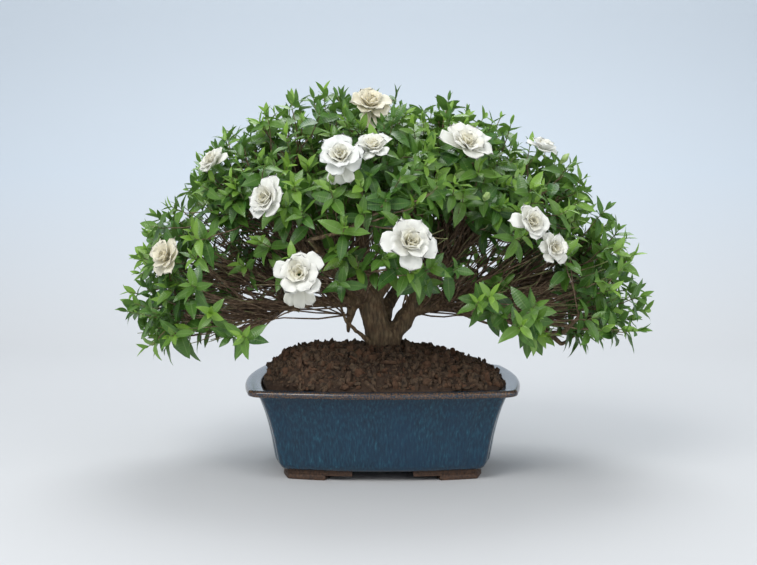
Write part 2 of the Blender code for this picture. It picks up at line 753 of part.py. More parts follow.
def main():
    clear_scene()
    home = collection("potted_gardenia")
    cutters = collection("cutters")
    centres = mass_centres()
    routes = wood_routes(centres)
    join_tubes("trunk_and_limbs", routes, 0.0, home, cutters, material("bark"))
    wood_cutter = as_cutter(join_tubes("wood_cutter", routes, GAP, cutters, cutters))
    make_pot(home, cutters)
    for side, x in (("left", -DRAIN_HOLE_X), ("right", DRAIN_HOLE_X)):
        make_screen(f"drain_screen_{side}", x, home)
        make_clip(f"screen_clip_{side}", x + CLIP_LEG, home)
    make_soil(home, wood_cutter, cutters)
    seats = make_flowers(home, cutters)
    make_foliage(centres, wood_cutter, seats, home)
    centre_on_ground(home)


main()
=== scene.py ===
import json
import math
import random

import bmesh
import bpy
import numpy as np
from mathutils import Matrix, Vector, noise

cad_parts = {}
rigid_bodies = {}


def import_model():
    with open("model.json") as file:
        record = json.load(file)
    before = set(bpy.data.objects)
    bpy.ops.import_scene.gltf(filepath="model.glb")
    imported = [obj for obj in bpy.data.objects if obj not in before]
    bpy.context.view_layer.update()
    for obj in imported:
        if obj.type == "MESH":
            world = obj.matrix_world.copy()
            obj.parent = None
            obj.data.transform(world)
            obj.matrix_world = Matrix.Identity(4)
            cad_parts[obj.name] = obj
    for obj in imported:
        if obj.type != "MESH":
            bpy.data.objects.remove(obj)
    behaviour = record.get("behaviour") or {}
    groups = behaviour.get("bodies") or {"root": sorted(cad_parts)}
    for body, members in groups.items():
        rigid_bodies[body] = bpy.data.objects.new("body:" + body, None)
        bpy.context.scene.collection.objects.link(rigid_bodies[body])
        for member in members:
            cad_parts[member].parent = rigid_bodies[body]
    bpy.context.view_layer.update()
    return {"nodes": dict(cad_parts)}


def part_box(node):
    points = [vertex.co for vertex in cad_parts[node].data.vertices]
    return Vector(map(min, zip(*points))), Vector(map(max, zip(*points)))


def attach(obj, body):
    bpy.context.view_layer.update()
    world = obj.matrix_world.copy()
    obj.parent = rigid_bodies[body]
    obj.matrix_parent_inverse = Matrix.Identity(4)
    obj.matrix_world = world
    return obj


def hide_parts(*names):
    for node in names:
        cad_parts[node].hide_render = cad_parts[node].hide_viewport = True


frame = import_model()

MM = 0.001
FOLIAGE = sorted(n for n in frame["nodes"] if n.startswith("foliage_"))
BLOOMS = sorted(n for n in frame["nodes"] if n.startswith("bloom_"))
BUDS = sorted(n for n in frame["nodes"] if n.startswith("bud_"))


def middle_of(node):
    low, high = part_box(node)
    return (Vector(low) + Vector(high)) / 2


def spread_of(nodes):
    lows, highs = zip(*(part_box(n) for n in nodes))
    return Vector(map(min, zip(*lows))), Vector(map(max, zip(*highs)))


# The dome of leaves: half of an ellipsoid that stands over the soil
CANOPY_LOW, CANOPY_HIGH = spread_of(FOLIAGE)
CANOPY_BASE = 148 * MM
CANOPY = Vector(((CANOPY_LOW.x + CANOPY_HIGH.x) / 2, (CANOPY_LOW.y + CANOPY_HIGH.y) / 2, CANOPY_BASE))
CANOPY_RADII = Vector((
    (CANOPY_HIGH.x - CANOPY_LOW.x) / 2,
    (CANOPY_HIGH.y - CANOPY_LOW.y) / 2,
    CANOPY_HIGH.z - CANOPY_BASE,
))

# ---- Node helpers ----


def add(tree, kind, inputs=None, **props):
    """A new node, with its properties set and its inputs given values or links."""
    made = tree.nodes.new(kind)
    for name, value in props.items():
        setattr(made, name, value)
    for name, value in (inputs or {}).items():
        socket = made.inputs[name]
        if isinstance(value, bpy.types.NodeSocket):
            tree.links.new(value, socket)
        else:
            socket.default_value = value
    return made


def ramp(tree, factor, *stops):
    """A colour ramp on factor, from (position, colour) stops."""
    made = add(tree, "ShaderNodeValToRGB", {"Fac": factor})
    points = made.color_ramp.elements
    while len(points) < len(stops):
        points.new(0.5)
    for point, (position, colour) in zip(points, stops):
        point.position = position
        point.color = (*colour, 1.0)
    return made.outputs["Color"]


def mix(tree, factor, a, b, blend="MIX"):
    made = add(tree, "ShaderNodeMix", data_type="RGBA", blend_type=blend)
    for socket, value in zip((made.inputs[0], made.inputs[6], made.inputs[7]), (factor, a, b)):
        if isinstance(value, bpy.types.NodeSocket):
            tree.links.new(value, socket)
        else:
            socket.default_value = value if socket == made.inputs[0] else (*value, 1.0)
    return made.outputs[2]


def maths(tree, operation, a, b=0.0, clamp=False):
    return add(tree, "ShaderNodeMath", {0: a, 1: b}, operation=operation, use_clamp=clamp).outputs[0]


def shader_group(name, inputs, outputs):
    """An empty shader node group with named float inputs, and its two end nodes."""
    group = bpy.data.node_groups.new(name, "ShaderNodeTree")
    for label, kind, value in inputs:
        socket = group.interface.new_socket(label, in_out="INPUT", socket_type=kind)
        if value is not None:
            socket.default_value = value
    for label, kind in outputs:
        group.interface.new_socket(label, in_out="OUTPUT", socket_type=kind)
    return group, group.nodes.new("NodeGroupInput"), group.nodes.new("NodeGroupOutput")


def make_mottle():
    """Soft patches from a stretched noise: a mask from 0 to 1."""
    group, given, out = shader_group(
        "mottle",
        [("Vector", "NodeSocketVector", None), ("Scale", "NodeSocketFloat", 100.0),
         ("Stretch", "NodeSocketVector", (1.0, 1.0, 1.0)), ("Contrast", "NodeSocketFloat", 2.0)],
        [("Mask", "NodeSocketFloat")])
    stretched = add(group, "ShaderNodeVectorMath",
                    {0: given.outputs["Vector"], 1: given.outputs["Stretch"]}, operation="MULTIPLY")
    cloud = add(group, "ShaderNodeTexNoise",
                {"Vector": stretched.outputs[0], "Scale": given.outputs["Scale"], "Detail": 5.0})
    centred = maths(group, "SUBTRACT", cloud.outputs["Fac"], 0.5)
    steep = maths(group, "MULTIPLY", centred, given.outputs["Contrast"])
    group.links.new(maths(group, "ADD", steep, 0.5, clamp=True), out.inputs["Mask"])
    return group


def make_relief():
    """Fine bumps from a stretched noise, as a normal."""
    group, given, out = shader_group(
        "relief",
        [("Vector", "NodeSocketVector", None), ("Scale", "NodeSocketFloat", 400.0),
         ("Stretch", "NodeSocketVector", (1.0, 1.0, 1.0)), ("Strength", "NodeSocketFloat", 0.3),
         ("Depth", "NodeSocketFloat", 0.001)],
        [("Normal", "NodeSocketVector")])
    stretched = add(group, "ShaderNodeVectorMath",
                    {0: given.outputs["Vector"], 1: given.outputs["Stretch"]}, operation="MULTIPLY")
    cloud = add(group, "ShaderNodeTexNoise",
                {"Vector": stretched.outputs[0], "Scale": given.outputs["Scale"], "Detail": 6.0})
    bump = add(group, "ShaderNodeBump",
               {"Height": cloud.outputs["Fac"], "Strength": given.outputs["Strength"],
                "Distance": given.outputs["Depth"]})
    group.links.new(bump.outputs["Normal"], out.inputs["Normal"])
    return group


MOTTLE = make_mottle()
RELIEF = make_relief()


def mottle(tree, vector, scale, contrast=2.0, stretch=(1.0, 1.0, 1.0)):
    made = add(tree, "ShaderNodeGroup", node_tree=MOTTLE)
    tree.links.new(vector, made.inputs["Vector"])
    made.inputs["Scale"].default_value = scale
    made.inputs["Contrast"].default_value = contrast
    made.inputs["Stretch"].default_value = stretch
    return made.outputs["Mask"]


def relief(tree, vector, scale, strength, depth, stretch=(1.0, 1.0, 1.0)):
    made = add(tree, "ShaderNodeGroup", node_tree=RELIEF)
    tree.links.new(vector, made.inputs["Vector"])
    made.inputs["Scale"].default_value = scale
    made.inputs["Strength"].default_value = strength
    made.inputs["Depth"].default_value = depth
    made.inputs["Stretch"].default_value = stretch
    return made.outputs["Normal"]


def new_material(name):
    """A material with its tree, its Principled node and the object's own coordinates."""
    made = bpy.data.materials.new(name)
    made.use_nodes = True
    tree = made.node_tree
    shader = tree.nodes["Principled BSDF"]
    place = add(tree, "ShaderNodeTexCoord").outputs["Object"]
    return made, tree, shader, place


def attribute(tree, name):
    return add(tree, "ShaderNodeAttribute", attribute_name=name).outputs["Fac"]


def feed(tree, shader, **sockets):
    for name, value in sockets.items():
        tree.links.new(value, shader.inputs[name.replace("_", " ")])


# ---- Materials ----


def let_light_through(tree, shader, colour, share):
    """Lets a share of the light pass a thin leaf or petal."""
    through = add(tree, "ShaderNodeBsdfTranslucent", {"Color": colour})
    blend = add(tree, "ShaderNodeMixShader", {0: share, 1: shader.outputs[0], 2: through.outputs[0]})
    tree.links.new(blend.outputs[0], tree.nodes["Material Output"].inputs["Surface"])


def glaze_material():
    """Deep blue glaze with fine runs, thin and brown along the lip; bare clay on the feet. The runs'
    brightest streaks carry a painted highlight colour.
    """
    made, tree, shader, place = new_material("blue_glaze")
    runs = mottle(tree, place, 520.0, 2.2, (1.0, 1.0, 0.13))
    pools = mottle(tree, place, 28.0, 2.4, (1.0, 1.0, 0.6))
    # The runs are the glaze's own streaks; the ramp's brightest stop is a painted highlight colour laid
    # along them.
    base = ramp(tree, runs, (0.0, (0.004, 0.018, 0.034)), (0.5, (0.007, 0.034, 0.062)),
                (0.85, (0.011, 0.062, 0.100)), (1.0, (0.024, 0.110, 0.150)))
    body = mix(tree, maths(tree, "MULTIPLY", pools, 0.55), base, (0.005, 0.030, 0.066))
    specks = mottle(tree, place, 620.0, 4.0)
    brown = ramp(tree, specks, (0.0, (0.030, 0.016, 0.009)), (1.0, (0.150, 0.085, 0.045)))
    edge = attribute(tree, "edge")
    broken = maths(tree, "MULTIPLY", edge, maths(tree, "ADD", specks, 0.45), clamp=True)
    glazed = mix(tree, broken, body, brown)
    clay_grain = mottle(tree, place, 500.0, 3.0)
    clay = ramp(tree, clay_grain, (0.0, (0.022, 0.011, 0.006)), (1.0, (0.085, 0.042, 0.022)))
    bare = attribute(tree, "bare")
    colour = mix(tree, bare, glazed, clay)
    gloss = maths(tree, "ADD", maths(tree, "MULTIPLY", runs, 0.10), 0.10)
    rough = maths(tree, "ADD", gloss, maths(tree, "MULTIPLY", bare, 0.6), clamp=True)
    feed(tree, shader, Base_Color=colour, Roughness=rough,
         Normal=relief(tree, place, 150.0, 0.12, 0.0006, (1.0, 1.0, 0.35)))
    return made


def soil_material(name, dark, light, rough=0.95):
    made, tree, shader, place = new_material(name)
    lumps = mottle(tree, place, 260.0, 2.4)
    shade = attribute(tree, "tint")
    base = ramp(tree, lumps, (0.0, dark), (1.0, light))
    colour = mix(tree, maths(tree, "MULTIPLY", shade, 0.75), base, (0.105, 0.046, 0.022))
    feed(tree, shader, Base_Color=colour, Normal=relief(tree, place, 900.0, 0.6, 0.001))
    shader.inputs["Roughness"].default_value = rough
    return made


def bark_material():
    """Warm brown fibrous bark with grey-green patches."""
    made, tree, shader, place = new_material("bark")
    fibres = mottle(tree, place, 420.0, 2.6, (1.0, 1.0, 0.22))
    patches = mottle(tree, place, 60.0, 3.0)
    moss = mottle(tree, place, 95.0, 4.0)
    base = ramp(tree, fibres, (0.0, (0.030, 0.017, 0.010)), (0.5, (0.120, 0.076, 0.040)),
                (1.0, (0.290, 0.200, 0.115)))
    warm = mix(tree, maths(tree, "MULTIPLY", patches, 0.5), base, (0.165, 0.092, 0.042))
    colour = mix(tree, maths(tree, "MULTIPLY", moss, 0.22), warm, (0.090, 0.095, 0.050))
    rough = maths(tree, "ADD", maths(tree, "MULTIPLY", fibres, 0.2), 0.72)
    feed(tree, shader, Base_Color=colour, Roughness=rough,
         Normal=relief(tree, place, 520.0, 0.85, 0.0016, (1.0, 1.0, 0.3)))
    return made


def twig_material():
    made, tree, shader, place = new_material("twig_bark")
    along = mottle(tree, place, 160.0, 2.5)
    young = attribute(tree, "young")
    old = ramp(tree, along, (0.0, (0.070, 0.040, 0.024)), (0.6, (0.170, 0.108, 0.064)),
               (1.0, (0.330, 0.240, 0.155)))
    colour = mix(tree, young, old, (0.150, 0.200, 0.060))
    feed(tree, shader, Base_Color=colour, Normal=relief(tree, place, 1500.0, 0.4, 0.0004))
    shader.inputs["Roughness"].default_value = 0.75
    return made


def leaf_material():
    """Glossy leaf: dark when old and yellow-green when young, paler along its midrib, with painted shade
    that darkens leaves deep inside the dome.
    """
    made, tree, shader, place = new_material("leaf")
    tint = attribute(tree, "tint")
    # The shade attribute is painted shade: it grows the deeper the leaf lies inside the dome.
    depth = attribute(tree, "shade")
    patches = mottle(tree, place, 180.0, 2.0)
    mature = ramp(tree, patches, (0.0, (0.014, 0.068, 0.009)), (1.0, (0.050, 0.150, 0.020)))
    colour = mix(tree, tint, mature, (0.230, 0.400, 0.050))
    flat = add(tree, "ShaderNodeUVMap", uv_map="UVMap").outputs[0]
    across = add(tree, "ShaderNodeSeparateXYZ", {0: flat})
    off_middle = maths(tree, "ABSOLUTE", maths(tree, "SUBTRACT", across.outputs["X"], 0.5))
    rib = maths(tree, "SUBTRACT", 1.0, maths(tree, "MULTIPLY", off_middle, 16.0), clamp=True)
    ribbed = mix(tree, maths(tree, "MULTIPLY", rib, 0.55), colour, (0.240, 0.360, 0.110))
    veins = add(tree, "ShaderNodeTexWave", {
        "Vector": add(tree, "ShaderNodeVectorMath", {0: flat, 1: (0.35, 1.0, 1.0)},
                      operation="MULTIPLY").outputs[0],
        "Scale": 3.6, "Distortion": 1.2}, bands_direction="Y")
    veined = mix(tree, maths(tree, "MULTIPLY", veins.outputs["Fac"], 0.16), ribbed, (0.130, 0.270, 0.060))
    back = add(tree, "ShaderNodeNewGeometry").outputs["Backfacing"]
    sided = mix(tree, maths(tree, "MULTIPLY", back, 0.55), veined, (0.120, 0.220, 0.080))
    # Painted shade: leaves deep inside the dome are mixed towards a near-black green.
    final = mix(tree, maths(tree, "MULTIPLY", depth, 0.35), sided, (0.010, 0.030, 0.008))
    rough = maths(tree, "ADD", maths(tree, "MULTIPLY", patches, 0.12), 0.26)
    bump = add(tree, "ShaderNodeBump",
               {"Height": veins.outputs["Fac"], "Strength": 0.25, "Distance": 0.0004})
    feed(tree, shader, Base_Color=final, Roughness=rough, Normal=bump.outputs["Normal"])
    let_light_through(tree, shader, mix(tree, 0.5, final, (0.22, 0.42, 0.04)), 0.22)
    return made


def petal_material():
    """White petals, creamy towards the heart and greenish at their base."""
    made, tree, shader, place = new_material("petal")
    heart = attribute(tree, "heart")
    age = attribute(tree, "age")
    base = attribute(tree, "base")
    soft = mottle(tree, place, 130.0, 1.6)
    white = ramp(tree, soft, (0.0, (0.900, 0.905, 0.875)), (1.0, (0.955, 0.958, 0.940)))
    creamy = mix(tree, maths(tree, "MULTIPLY", heart, 0.75), white, (0.860, 0.800, 0.520))
    older = mix(tree, maths(tree, "MULTIPLY", age, 0.6), creamy, (0.860, 0.780, 0.540))
    colour = mix(tree, maths(tree, "MULTIPLY", base, 0.55), older, (0.560, 0.640, 0.330))
    feed(tree, shader, Base_Color=colour, Normal=relief(tree, place, 700.0, 0.18, 0.0005))
    shader.inputs["Roughness"].default_value = 0.55
    let_light_through(tree, shader, colour, 0.4)
    return made


def green_material(name, dark, light):
    made, tree, shader, place = new_material(name)
    patches = mottle(tree, place, 300.0, 2.2, (1.0, 1.0, 0.4))
    colour = ramp(tree, patches, (0.0, dark), (1.0, light))
    feed(tree, shader, Base_Color=colour, Normal=relief(tree, place, 900.0, 0.3, 0.0004))
    shader.inputs["Roughness"].default_value = 0.42
    return made


def screen_material():
    made, tree, shader, place = new_material("screen_plastic")
    scuff = mottle(tree, place, 500.0, 2.5)
    colour = ramp(tree, scuff, (0.0, (0.012, 0.012, 0.012)), (1.0, (0.050, 0.046, 0.042)))
    rough = maths(tree, "ADD", maths(tree, "MULTIPLY", scuff, 0.25), 0.5)
    feed(tree, shader, Base_Color=colour, Roughness=rough, Normal=relief(tree, place, 900.0, 0.3, 0.0004))
    return made


def wire_material():
    made, tree, shader, place = new_material("clip_wire")
    drawn = mottle(tree, place, 700.0, 2.5, (1.0, 0.15, 1.0))
    colour = ramp(tree, drawn, (0.0, (0.420, 0.410, 0.400)), (1.0, (0.700, 0.690, 0.680)))
    rough = maths(tree, "ADD", maths(tree, "MULTIPLY", drawn, 0.25), 0.3)
    feed(tree, shader, Base_Color=colour, Roughness=rough)
    shader.inputs["Metallic"].default_value = 1.0
    return made


# ---- Mesh helpers ----


def object_from(name, mesh):
    made = bpy.data.objects.new(name, mesh)
    bpy.context.scene.collection.objects.link(made)
    return made


def band_faces(start, count, levels, flip=False):
    """The faces between rings of count points that follow one another from start."""
    faces = []
    for a in range(start, start + (levels - 1) * count, count):
        for i in range(count):
            j = (i + 1) % count
            face = (a + i, a + j, a + count + j, a + count + i)
            faces.append(face[::-1] if flip else face)
    return faces


def cap_faces(start, count, levels, flip=False):
    """The first ring's face, which looks down, and the last ring's, which looks up."""
    last = start + (levels - 1) * count
    first_face = tuple(range(start, start + count))
    last_face = tuple(range(last, last + count))
    if flip:
        return [first_face, last_face[::-1]]
    return [first_face[::-1], last_face]


def piece_from_arrays(name, points, faces, finish, **attributes):
    mesh = bpy.data.meshes.new(name)
    mesh.from_pydata([tuple(p) for p in points], [], [tuple(f) for f in faces])
    for label, values in attributes.items():
        layer = mesh.attributes.new(label, "FLOAT", "POINT")
        layer.data.foreach_set("value", np.asarray(values, dtype=np.float32))
    mesh.materials.append(finish)
    set_smooth(mesh, True)
    return object_from(name, mesh)


def set_smooth(mesh, smooth):
    mesh.polygons.foreach_set("use_smooth", [smooth] * len(mesh.polygons))


def own(piece, slot, *nodes):
    """Puts a piece on the plant's one body in place of the CAD nodes, which it hides; the slot is not used.
    """
    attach(piece, "root")
    if nodes:
        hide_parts(*nodes)
    return piece


# ---- Pot ----

POT_LOW, POT_HIGH = (Vector(c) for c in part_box("pot"))
POT_MIDDLE = (POT_LOW + POT_HIGH) / 2
POT_HALF_LENGTH = (POT_HIGH.x - POT_LOW.x) / 2
POT_HALF_DEPTH = (POT_HIGH.y - POT_LOW.y) / 2
BOW_LENGTH = 9 * MM
BOW_DEPTH = 13 * MM
CORNER_RADIUS = 15 * MM
CREASE_INSET = 20 * MM
CREASE_DEPTH = 2.4 * MM
CREASE_WIDTH = 3.2 * MM
FOOT_HEIGHT = 11 * MM
# (height, inset from the lip's outline, crease depth) in millimetres, as the pot's
# wall runs from its underside up the outside, over the lip and down the inside
WALL = [
    (11.0, 39.5, 0.0), (11.0, 37.6, 0.0), (11.8, 35.2, 0.2), (13.6, 33.2, 0.5), (18.0, 30.9, 1.0),
    (28.0, 29.0, 1.0), (42.0, 26.6, 1.0), (55.0, 23.7, 1.0), (66.0, 20.8, 1.0), (76.0, 17.6, 1.0),
    (84.0, 14.6, 0.9), (89.5, 12.2, 0.6), (91.8, 11.0, 0.3), (92.6, 9.4, 0.1), (92.9, 6.0, 0.0),
    (93.1, 2.8, 0.0), (93.9, 0.9, 0.0), (95.4, 0.1, 0.0), (97.2, 0.0, 0.0), (98.8, 0.6, 0.0),
    (99.7, 1.9, 0.0), (100.0, 3.6, 0.0), (99.8, 6.5, 0.0), (99.5, 11.5, 0.0), (99.2, 14.8, 0.0),
    (98.6, 16.8, 0.0), (97.0, 18.0, 0.0), (85.0, 21.5, 0.0), (50.0, 32.4, 0.0), (25.0, 38.4, 0.0),
    (20.6, 40.4, 0.0), (20.0, 43.4, 0.0),
]
SIDE_POINTS = 46
CORNER_POINTS = 8
SHARP_ANGLE = 50
# Each foot's bars in millimetres: low, top, reach along the pot, inset, round at the top
FOOT_BARS = ((0.0, 5.5, 56.0, 0.0, 0.8), (5.0, 12.0, 82.0, 0.4, 0.0))
FOOT_ROUND = 0.8
FOOT_SETBACK = 2.5
FOOT_SIDE_SHARE = 0.72
FOOT_THICKNESS = 13 * MM
FOOT_OVERHANG = 1.5 * MM
BASE_INSET = 38 * MM
CLAY_TOP = FOOT_HEIGHT + 0.5 * MM
DRAIN_RADIUS = 9 * MM
DRAIN_DEPTH = 24 * MM
DRAIN_MIDDLE = 15 * MM
DRAIN_SIDES = 40
# The lip's worn lines in millimetres: inset, width, and the heights between which it lies
LIP_EDGES = ((1.2, 1.6, 92.8, math.inf), (16.4, 1.4, 96.0, 99.5))


def wall_outline(height, inset, crease):
    """One ring of the pot: four bowed sides, creased near their ends, round corners."""
    length = POT_HALF_LENGTH - BOW_LENGTH - inset
    depth = POT_HALF_DEPTH - BOW_DEPTH - inset
    radius = max(CORNER_RADIUS - 0.25 * inset, 4 * MM)
    ring = []
    for side in range(4):
        turn = Matrix.Rotation(side * math.pi / 2, 3, "Z")
        along, out = (length, depth) if side % 2 == 0 else (depth, length)
        bow = BOW_DEPTH if side % 2 == 0 else BOW_LENGTH
        straight = along - radius
        for k in range(SIDE_POINTS + 1):
            step = math.sin((2 * k / SIDE_POINTS - 1) * math.pi / 2)
            s = step * straight
            away = (abs(s) - along + CREASE_INSET) / CREASE_WIDTH
            dent = CREASE_DEPTH * crease * math.exp(-away * away)
            ring.append(turn @ Vector((s, -(out + bow * (1 - step * step) - dent), height)))
        for k in range(1, CORNER_POINTS + 1):
            angle = math.pi / 2 * k / (CORNER_POINTS + 1)
            ring.append(turn @ Vector((straight + radius * math.sin(angle),
                                       -(out - radius + radius * math.cos(angle)), height)))
    return [p + Vector((POT_MIDDLE.x, POT_MIDDLE.y, 0)) for p in ring]


def lip_wear(height, inset):
    """How thin the glaze lies: on the lip's two edges."""
    worn = 0.0
    for place, width, low, high in LIP_EDGES:
        if low < height < high:
            worn = max(worn, math.exp(-((inset - place) / width) ** 2))
    return worn


def add_feet(points, faces):
    """The four clay feet: each a low bar and a longer one over it, round a corner."""
    for sign_x in (-1, 1):
        for sign_y in (-1, 1):
            for low, top, reach, set_in, top_round in FOOT_BARS:
                band = foot_outline(reach * MM, (FOOT_SETBACK + set_in) * MM)
                middle = sum(band, Vector()) / len(band)
                levels = [(low, FOOT_ROUND), (low + FOOT_ROUND, 0.0), (top - FOOT_ROUND, 0.0),
                          (top, top_round)]
                start = len(points)
                for z, pull in levels:
                    for p in band:
                        q = p + (middle - p).normalized() * pull * MM
                        points.append(Vector((sign_x * q.x + POT_MIDDLE.x, sign_y * q.y + POT_MIDDLE.y,
                                              z * MM)))
                flip = sign_x * sign_y < 0
                faces += band_faces(start, len(band), len(levels), flip)
                faces += cap_faces(start, len(band), len(levels), flip)


def foot_outline(reach, set_in):
    """A foot seen from below, round the corner at +X and -Y, counter-clockwise."""
    lines = []
    corner_x = POT_HALF_LENGTH - BASE_INSET - reach
    corner_y = POT_HALF_DEPTH - BASE_INSET - reach * FOOT_SIDE_SHARE
    for deeper in (0.0, FOOT_THICKNESS):
        ring = wall_outline(0.0, BASE_INSET - FOOT_OVERHANG + set_in + deeper, 0.0)
        ring = [p - Vector((POT_MIDDLE.x, POT_MIDDLE.y, 0)) for p in ring]
        lines.append([p for p in ring if p.x > corner_x and -p.y > corner_y])
    outer, inner = lines
    return outer + inner[::-1]


def make_pot():
    rings = [wall_outline(h * MM, inset * MM, crease) for h, inset, crease in WALL]
    points, edges, bares = [], [], []
    count = len(rings[0])
    for (height, inset, _), ring in zip(WALL, rings):
        points += ring
        edges += [lip_wear(height, inset)] * count
        bares += [float(height * MM < CLAY_TOP)] * count
    faces = band_faces(0, count, len(rings)) + cap_faces(0, count, len(rings))
    add_feet(points, faces)
    feet_points = len(points) - len(edges)
    edges += [0.0] * feet_points
    bares += [1.0] * feet_points
    pot = piece_from_arrays("glazed_pot", points, faces, glaze_material(), edge=edges, bare=bares)
    pot.data.set_sharp_from_angle(angle=math.radians(SHARP_ANGLE))
    drill_drains(pot)
    return own(pot, "glaze", "pot")


def drill_drains(pot):
    """Cuts the two drain holes where the screens lie."""
    for node in ("drain_screen_left", "drain_screen_right"):
        centre = middle_of(node)
        bpy.ops.mesh.primitive_cylinder_add(vertices=DRAIN_SIDES, radius=DRAIN_RADIUS, depth=DRAIN_DEPTH,
                                            location=(centre.x, centre.y, DRAIN_MIDDLE))
        hole = bpy.context.active_object
        cut = pot.modifiers.new("drain", "BOOLEAN")
        cut.operation = "DIFFERENCE"
        cut.object = hole
        bake_modifiers(pot)
        bpy.data.objects.remove(hole)


def bake_modifiers(ob):
    """Turns the evaluated object into its own plain mesh and drops its modifiers."""
    graph = bpy.context.evaluated_depsgraph_get()
    graph.update()
    result = bpy.data.meshes.new_from_object(ob.evaluated_get(graph))
    ob.modifiers.clear()
    ob.data = result


# ---- Soil ----

SOIL_LOW, SOIL_HIGH = (Vector(c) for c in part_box("soil"))
SOIL_EDGE = 97 * MM
SOIL_INSET = 18 * MM
SOIL_FALL_LEFT = 6.0
SOIL_FALL_RIGHT = 2.2
SOIL_FALL_ACROSS = 2.6
SOIL_RINGS = 46
SOIL_FLOOR_INSET = 40 * MM
SOIL_FLOOR_LIFT = 4 * MM
# The surface's lumps: how many to the metre, and how high in millimetres
LUMPS = ((90, 2.2), (240, 1.5), (600, 0.7))
CRUMBS = 4200


def soil_height(x, y):
    """The mound: steep at the left end, sloping off to the right, highest at the trunk."""
    u = min(abs(x - POT_MIDDLE.x) / (POT_HALF_LENGTH - SOIL_INSET), 1.0)
    v = min(abs(y - POT_MIDDLE.y) / (POT_HALF_DEPTH - SOIL_INSET), 1.0)
    fall = SOIL_FALL_LEFT if x < POT_MIDDLE.x else SOIL_FALL_RIGHT
    rise = SOIL_HIGH.z - SOIL_EDGE - MM
    return SOIL_EDGE + rise * (1 - u**fall) * (1 - v**SOIL_FALL_ACROSS)


def crumbly(x, y):
    """Lumps of the soil's surface, in metres."""
    p = Vector((x, y, 0))
    return sum(noise.noise(p * scale) * height for scale, height in LUMPS) * MM


def make_soil_bed():
    """The mound as a fine lumpy sheet inside the pot's inner wall, closed underneath."""
    rim = wall_outline(SOIL_EDGE, SOIL_INSET + 0.4 * MM, 0.0)
    count = len(rim)
    centre = Vector((POT_MIDDLE.x, POT_MIDDLE.y, 0))
    points = wall_outline(SOIL_LOW.z + SOIL_FLOOR_LIFT, SOIL_FLOOR_INSET, 0.0)
    for k in range(SOIL_RINGS):
        share = 1.0 - k / SOIL_RINGS
        for p in rim:
            flat = centre + (p - centre) * share
            flat.z = soil_height(flat.x, flat.y) + crumbly(flat.x, flat.y) * min(1.0, (1.03 - share) * 12)
            points.append(flat)
    faces = band_faces(0, count, SOIL_RINGS + 1)
    last = SOIL_RINGS * count
    points.append(Vector((centre.x, centre.y, soil_height(centre.x, centre.y))))
    for i in range(count):
        faces.append((last + i, last + (i + 1) % count, len(points) - 1))
    faces.append(tuple(range(count))[::-1])
    dark = soil_material("soil", (0.008, 0.005, 0.003), (0.050, 0.032, 0.019))
    tints = [0.25] * len(points)
    return own(piece_from_arrays("soil_bed", points, faces, dark, tint=tints), "soil", "soil")


def scatter_tree(name):
    """Puts sources from a collection on points that carry turn, size and kind."""
    tree = bpy.data.node_groups.new(name, "GeometryNodeTree")
    tree.interface.new_socket("Geometry", in_out="INPUT", socket_type="NodeSocketGeometry")
    for label, kind in (("Sources", "NodeSocketCollection"), ("Size", "NodeSocketFloat"),
                        ("Finish", "NodeSocketMaterial")):
        tree.interface.new_socket(label, in_out="INPUT", socket_type=kind)
    tree.interface.new_socket("Geometry", in_out="OUTPUT", socket_type="NodeSocketGeometry")
    given, out = tree.nodes.new("NodeGroupInput"), tree.nodes.new("NodeGroupOutput")

    def named(label, kind):
        return add(tree, "GeometryNodeInputNamedAttribute", {"Name": label}, data_type=kind).outputs[0]

    sources = add(tree, "GeometryNodeCollectionInfo",
                  {"Collection": given.outputs["Sources"], "Separate Children": True,
                   "Reset Children": True})
    size = maths(tree, "MULTIPLY", named("size", "FLOAT"), given.outputs["Size"])
    placed = add(tree, "GeometryNodeInstanceOnPoints",
                 {"Points": given.outputs["Geometry"], "Instance": sources.outputs[0],
                  "Pick Instance": True, "Instance Index": named("kind", "INT"),
                  "Rotation": named("turn", "FLOAT_VECTOR"), "Scale": size})
    real = add(tree, "GeometryNodeRealizeInstances", {"Geometry": placed.outputs[0]})
    finished = add(tree, "GeometryNodeSetMaterial",
                   {"Geometry": real.outputs[0], "Material": given.outputs["Finish"]})
    tree.links.new(finished.outputs[0], out.inputs[0])
    return tree


def set_input(modifier, tree, label, value):
    for item in tree.interface.items_tree:
        if item.item_type == "SOCKET" and item.in_out == "INPUT" and item.name == label:
            modifier[item.identifier] = value


def scatter(name, tree, spots, sources, finish, size=1.0):
    """One plain mesh of sources on spots: (place, euler, size, kind, {attribute: value})."""
    mesh = bpy.data.meshes.new(name)
    mesh.from_pydata([tuple(s[0]) for s in spots], [], [])
    turn = mesh.attributes.new("turn", "FLOAT_VECTOR", "POINT")
    turn.data.foreach_set("vector", [c for s in spots for c in s[1]])
    mesh.attributes.new("size", "FLOAT", "POINT").data.foreach_set("value", [s[2] for s in spots])
    mesh.attributes.new("kind", "INT", "POINT").data.foreach_set("value", [s[3] for s in spots])
    for label in spots[0][4]:
        layer = mesh.attributes.new(label, "FLOAT", "POINT")
        layer.data.foreach_set("value", [s[4][label] for s in spots])
    made = object_from(name, mesh)
    nodes = made.modifiers.new("scatter", "NODES")
    nodes.node_group = tree
    set_input(nodes, tree, "Sources", sources)
    set_input(nodes, tree, "Size", size)
    set_input(nodes, tree, "Finish", finish)
    bake_modifiers(made)
    set_smooth(made.data, True)
    return made


def source_collection(name, meshes):
    home = bpy.data.collections.new(name)
    bpy.context.scene.collection.children.link(home)
    for k, mesh in enumerate(meshes):
        home.objects.link(bpy.data.objects.new(f"{name}_{k}", mesh))
    return home


def drop_sources(home):
    for ob in list(home.objects):
        bpy.data.objects.remove(ob)
    bpy.data.collections.remove(home)


